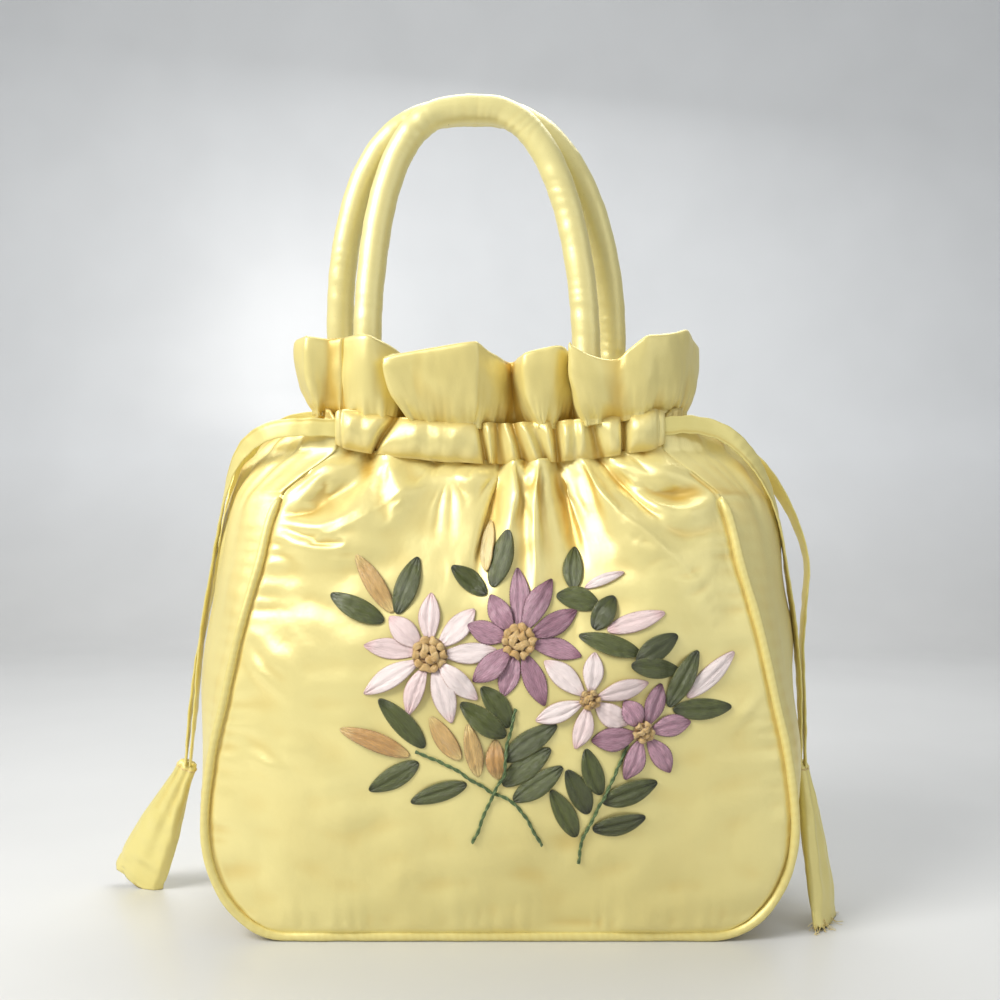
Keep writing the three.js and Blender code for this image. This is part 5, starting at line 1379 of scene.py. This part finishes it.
def ribbonStitch(x, z, turn, length, wide, seed, shape, hidden=None):
    # one stitch of ribbon: narrow where it leaves the cloth and goes back in, swelling and creased between
    rng = np.random.default_rng(seed)
    t, v = np.linspace(0, 1, spray["stitchRows"]), np.linspace(-1, 1, spray["stitchColumns"])
    angle = np.radians(turn)
    halfOf = petalHalf if shape.get("petal") else ribbonHalf
    half = halfOf(t, wide * rng.uniform(0.88, 1.08))
    bow = rng.uniform(-1, 1) * shape["bow"] * np.sin(np.pi * t)
    coarse = np.linspace(0, 1, 9)
    cx = x + np.cos(angle) * length * coarse
    cz = z + np.sin(angle) * length * coarse
    lift = liftOver(cx, cz, halfOf(coarse, wide))
    if hidden is not None:
        lift[:2] = hidden
    lift = np.maximum(lift, np.r_[lift[1:], lift[-1]] * 0.85)
    lift = np.maximum(lift, np.r_[lift[0], lift[:-1]] * 0.85)
    sewn.extend(zip(cx, cz, halfOf(coarse, wide), lift + spray["layer"]))
    lift = np.interp(t, coarse, lift)
    lift = np.convolve(np.pad(lift, 4, mode="edge"), np.ones(9) / 9, "valid")
    tt, vv = np.meshgrid(t, v, indexing="ij")
    swell = np.sin(np.pi * tt) ** 0.8
    crease = rng.uniform(-0.25, 0.25)
    second = rng.uniform(0.45, 0.7) * rng.choice([-1, 1])
    h = shape["puff"] * rng.uniform(0.8, 1.2) * swell * (1 - 0.55 * np.abs(vv) ** 2.4)
    h -= shape["crease"] * swell * hump(vv, crease + 0.1 * np.sin(3 * tt), 0.16)
    h -= 0.45 * shape["crease"] * swell * hump(vv, second, 0.12)
    h += 0.28 * np.cos(3.2 * np.pi * vv + 1) * (1 - swell)
    h += rng.choice([-1, 1]) * rng.uniform(0.4, 1) * shape["twist"] * (0.5 + 0.5 * vv) * np.sin(np.pi * tt)
    h += 0.08 * ripples(seed + 5, 5.0, tt * length, vv * 4)
    teeth = 1 + 0.03 * np.sin(2 * np.pi * tt * length / 0.92) * (np.abs(vv) > 0.99)
    side = half[:, None] * vv * teeth + bow[:, None]
    px = x + np.cos(angle) * length * tt - np.sin(angle) * side
    pz = z + np.sin(angle) * length * tt + np.cos(angle) * side
    top = onPanel(px, pz, lift[:, None] + np.maximum(h, 0.05) + spray["ribbon"])
    under = onPanel(px, pz, lift[:, None] + np.maximum(h, 0.05) * 0.98)
    marks = ribbonMarks(vv, tt, rng.uniform(0, 1) ** 2 * shape["vary"])
    return clothMesh(top, under), weaveOf(half[:, None] * vv, tt * length), marks


def gather(stitches):
    # several stitches as one piece, each turned the right way out
    meshes = [s[0] for s in stitches]
    weave = np.vstack([s[1] for s in stitches])
    marks = {key: np.concatenate([s[2][key] for s in stitches]) for key in stitches[0][2]}
    return joinedMeshes(meshes), weave, marks


def knots(x, z, radius, lift, seed):
    # loops of ribbon pulled into a tight cluster: most of them in a ring, the rest inside it and higher
    rng = np.random.default_rng(seed)
    large = radius > 5
    count = 16 if large else 9
    inRing = count * 0.62
    pieces = []
    for i in range(count):
        outside = i < inRing
        ringPlace = radius * (0.80 if outside else 0.34) * rng.uniform(0.9, 1.06)
        angle = i * 2 * np.pi / inRing if outside else i * 2.4 + 1
        cx, cz = x + ringPlace * np.cos(angle), z + ringPlace * np.sin(angle)
        size = radius * (0.36 if large else 0.44) * rng.uniform(0.85, 1.15)
        heading = angle + np.pi / 2 + rng.uniform(-0.7, 0.7)
        bend = rng.uniform(0.5, 1.1) * rng.choice([-1, 1])
        s = np.linspace(-1, 1, 16)
        a = heading + bend * s
        lx = cx + size * (np.sin(a) - np.sin(heading)) / bend
        lz = cz - size * (np.cos(a) - np.cos(heading)) / bend
        arch = (1 - s**2) * rng.uniform(0.9, 1.5) + (0.3 if outside else 1.2)
        wide = (0.35 + 0.65 * (1 - s**4)) * (1.35 if large else 1.0)
        ww, ss = np.meshgrid(np.linspace(-1, 1, 9), s)
        px = lx[:, None] - ww * wide[:, None] * np.sin(heading)
        pz = lz[:, None] + ww * wide[:, None] * np.cos(heading)
        roll = 0.55 * (1 - ww**2) - 0.25 * hump(ww, 0.2, 0.22)
        top = onPanel(px, pz, lift + arch[:, None] + roll + 0.25)
        under = onPanel(px, pz, lift + arch[:, None] + roll - 0.45)
        marks = ribbonMarks(ww, 0.5 + 0.3 * ss, rng.uniform(0, 0.7))
        pieces.append((clothMesh(top, under), weaveOf(ww * 1.5, ss * size), marks))
    # a low dome under the loops
    dome = []
    for share, height in ((1.02, 0.0), (1.0, 0.5), (0.8, 1.1), (0.45, 1.5), (0.1, 1.6)):
        circle = roundSection(share * radius, 24)
        dome.append(onPanel(x + circle[:, 0], z + circle[:, 1], np.full(24, lift + height)))
    rings = np.stack(dome)
    count = rings.size // 3
    marks = {"across": np.full(count, 1.0), "along": np.full(count, 0.5), "tint": np.full(count, 0.0)}
    pieces.append((tubeMesh(rings), rings.reshape(-1, 3)[:, [0, 2]], marks))
    return pieces


leafShape = {"puff": 1.2, "crease": 0.85, "twist": 0.9, "bow": 0.9, "vary": 0.5}
budShape = {"puff": 1.2, "crease": 0.8, "twist": 0.9, "bow": 0.9, "vary": 0.6}
petalShape = {"puff": 1.15, "crease": 0.75, "twist": 1.0, "bow": 0.8, "vary": 0.6, "petal": True}
oddRibbons = {"tanBud6": (0.85, clearRibbon), "pinkBud1": (0.5, paleRibbon)}

for label, node, rows, full, wide, mat, slotName, shape, start in (
    ("leaf", "leaf", leaves, "leafLength", "leafWidth", leafRibbon, "ribbon_leaf", leafShape, 200),
    ("tanBud", "tan_bud", tanBuds, "budLength", "budWidth", tanRibbon, "ribbon_tan", budShape, 300),
    ("pinkBud", "pink_bud", pinkBuds, "budLength", "budWidth", paleRibbon, "ribbon_pale", budShape, 340),
):
    for i, (across, up, turn, long) in enumerate(rows):
        name = f"{label}{i + 1}"
        share, ribbon = oddRibbons.get(name, (1.0, mat))
        x, z = sprayPlace(across, up)
        mesh, weave, marks = ribbonStitch(x, z, turn, long * spray[full], share * spray[wide], start + i, shape)
        makePiece(name, mesh, ribbon, [f"{node}_{i + 1}"], weave, marks)


def makeStem(name, node, places, seed):
    # two green threads twisted round each other
    flat = evenly(smoothPath([sprayPlace(*p) for p in places], 200), 200)
    steps = distanceAlong(flat)
    sway = 0.15 * ripples(seed, 9.0, steps)
    ahead = np.gradient(flat, axis=0)
    ahead /= np.linalg.norm(ahead, axis=1)[:, None]
    x = flat[:, 0] - ahead[:, 1] * sway
    z = flat[:, 1] + ahead[:, 0] * sway
    half = np.full(len(x), spray["stemWidth"] / 2)
    lift = liftOver(x, z, half)
    lift = np.convolve(np.pad(lift, 7, mode="edge"), np.ones(15) / 15, "valid")
    sewn.extend(zip(x[::6], z[::6], half[::6], lift[::6] + 1.1))
    strands = []
    for phase in (0, np.pi):
        turn = 2 * np.pi * steps / spray["threadPitch"] + phase
        away = 0.3 * np.cos(turn)
        line = onPanel(x - ahead[:, 1] * away, z + ahead[:, 0] * away, lift + 0.5 + 0.2 * np.sin(turn))
        section = np.repeat(roundSection(spray["threadRadius"], 7)[None], len(line), 0)
        strands.append(tubeMesh(ringsAlong(line, np.tile([0.0, -1.0, 0.0], (len(line), 1)), section)))
    makePiece(name, joinedMeshes(strands), stemThread, [node])


for i, places in enumerate(stems):
    makeStem(f"stem{i + 1}", f"stem_{i + 1}", places, 400 + i)

for number, (name, (node, middle, eye, petals)) in enumerate(flowers.items()):
    x, z = sprayPlace(*middle)
    radius = eye * spray["petalLength"]
    inner = 0.55 * radius
    base = float(liftOver(np.array([x]), np.array([z]), np.array([radius]))[0])
    ribbon, slotName = (mauveRibbon, "ribbon_mauve") if "Mauve" in name else (paleRibbon, "ribbon_pale")
    stitches = []
    for i, (turn, reach) in enumerate(petals):
        angle = np.radians(turn)
        sx, sz = x + np.cos(angle) * inner, z + np.sin(angle) * inner
        length, seed = reach * spray["petalLength"] - inner, 500 + 20 * number + i
        stitches.append(ribbonStitch(sx, sz, turn, length, spray["petalWidth"], seed, petalShape, base))
    mesh, weave, marks = gather(stitches)
    makePiece(name, mesh, ribbon, [node], weave, marks)
    mesh, weave, marks = gather(knots(x, z, radius * 0.96, base + 0.4, 600 + number))
    makePiece(name + "Knots", mesh, knotRibbon, [], weave, marks)
    sewn.append((x, z, radius, base + 2.0))
print("embroidery made")
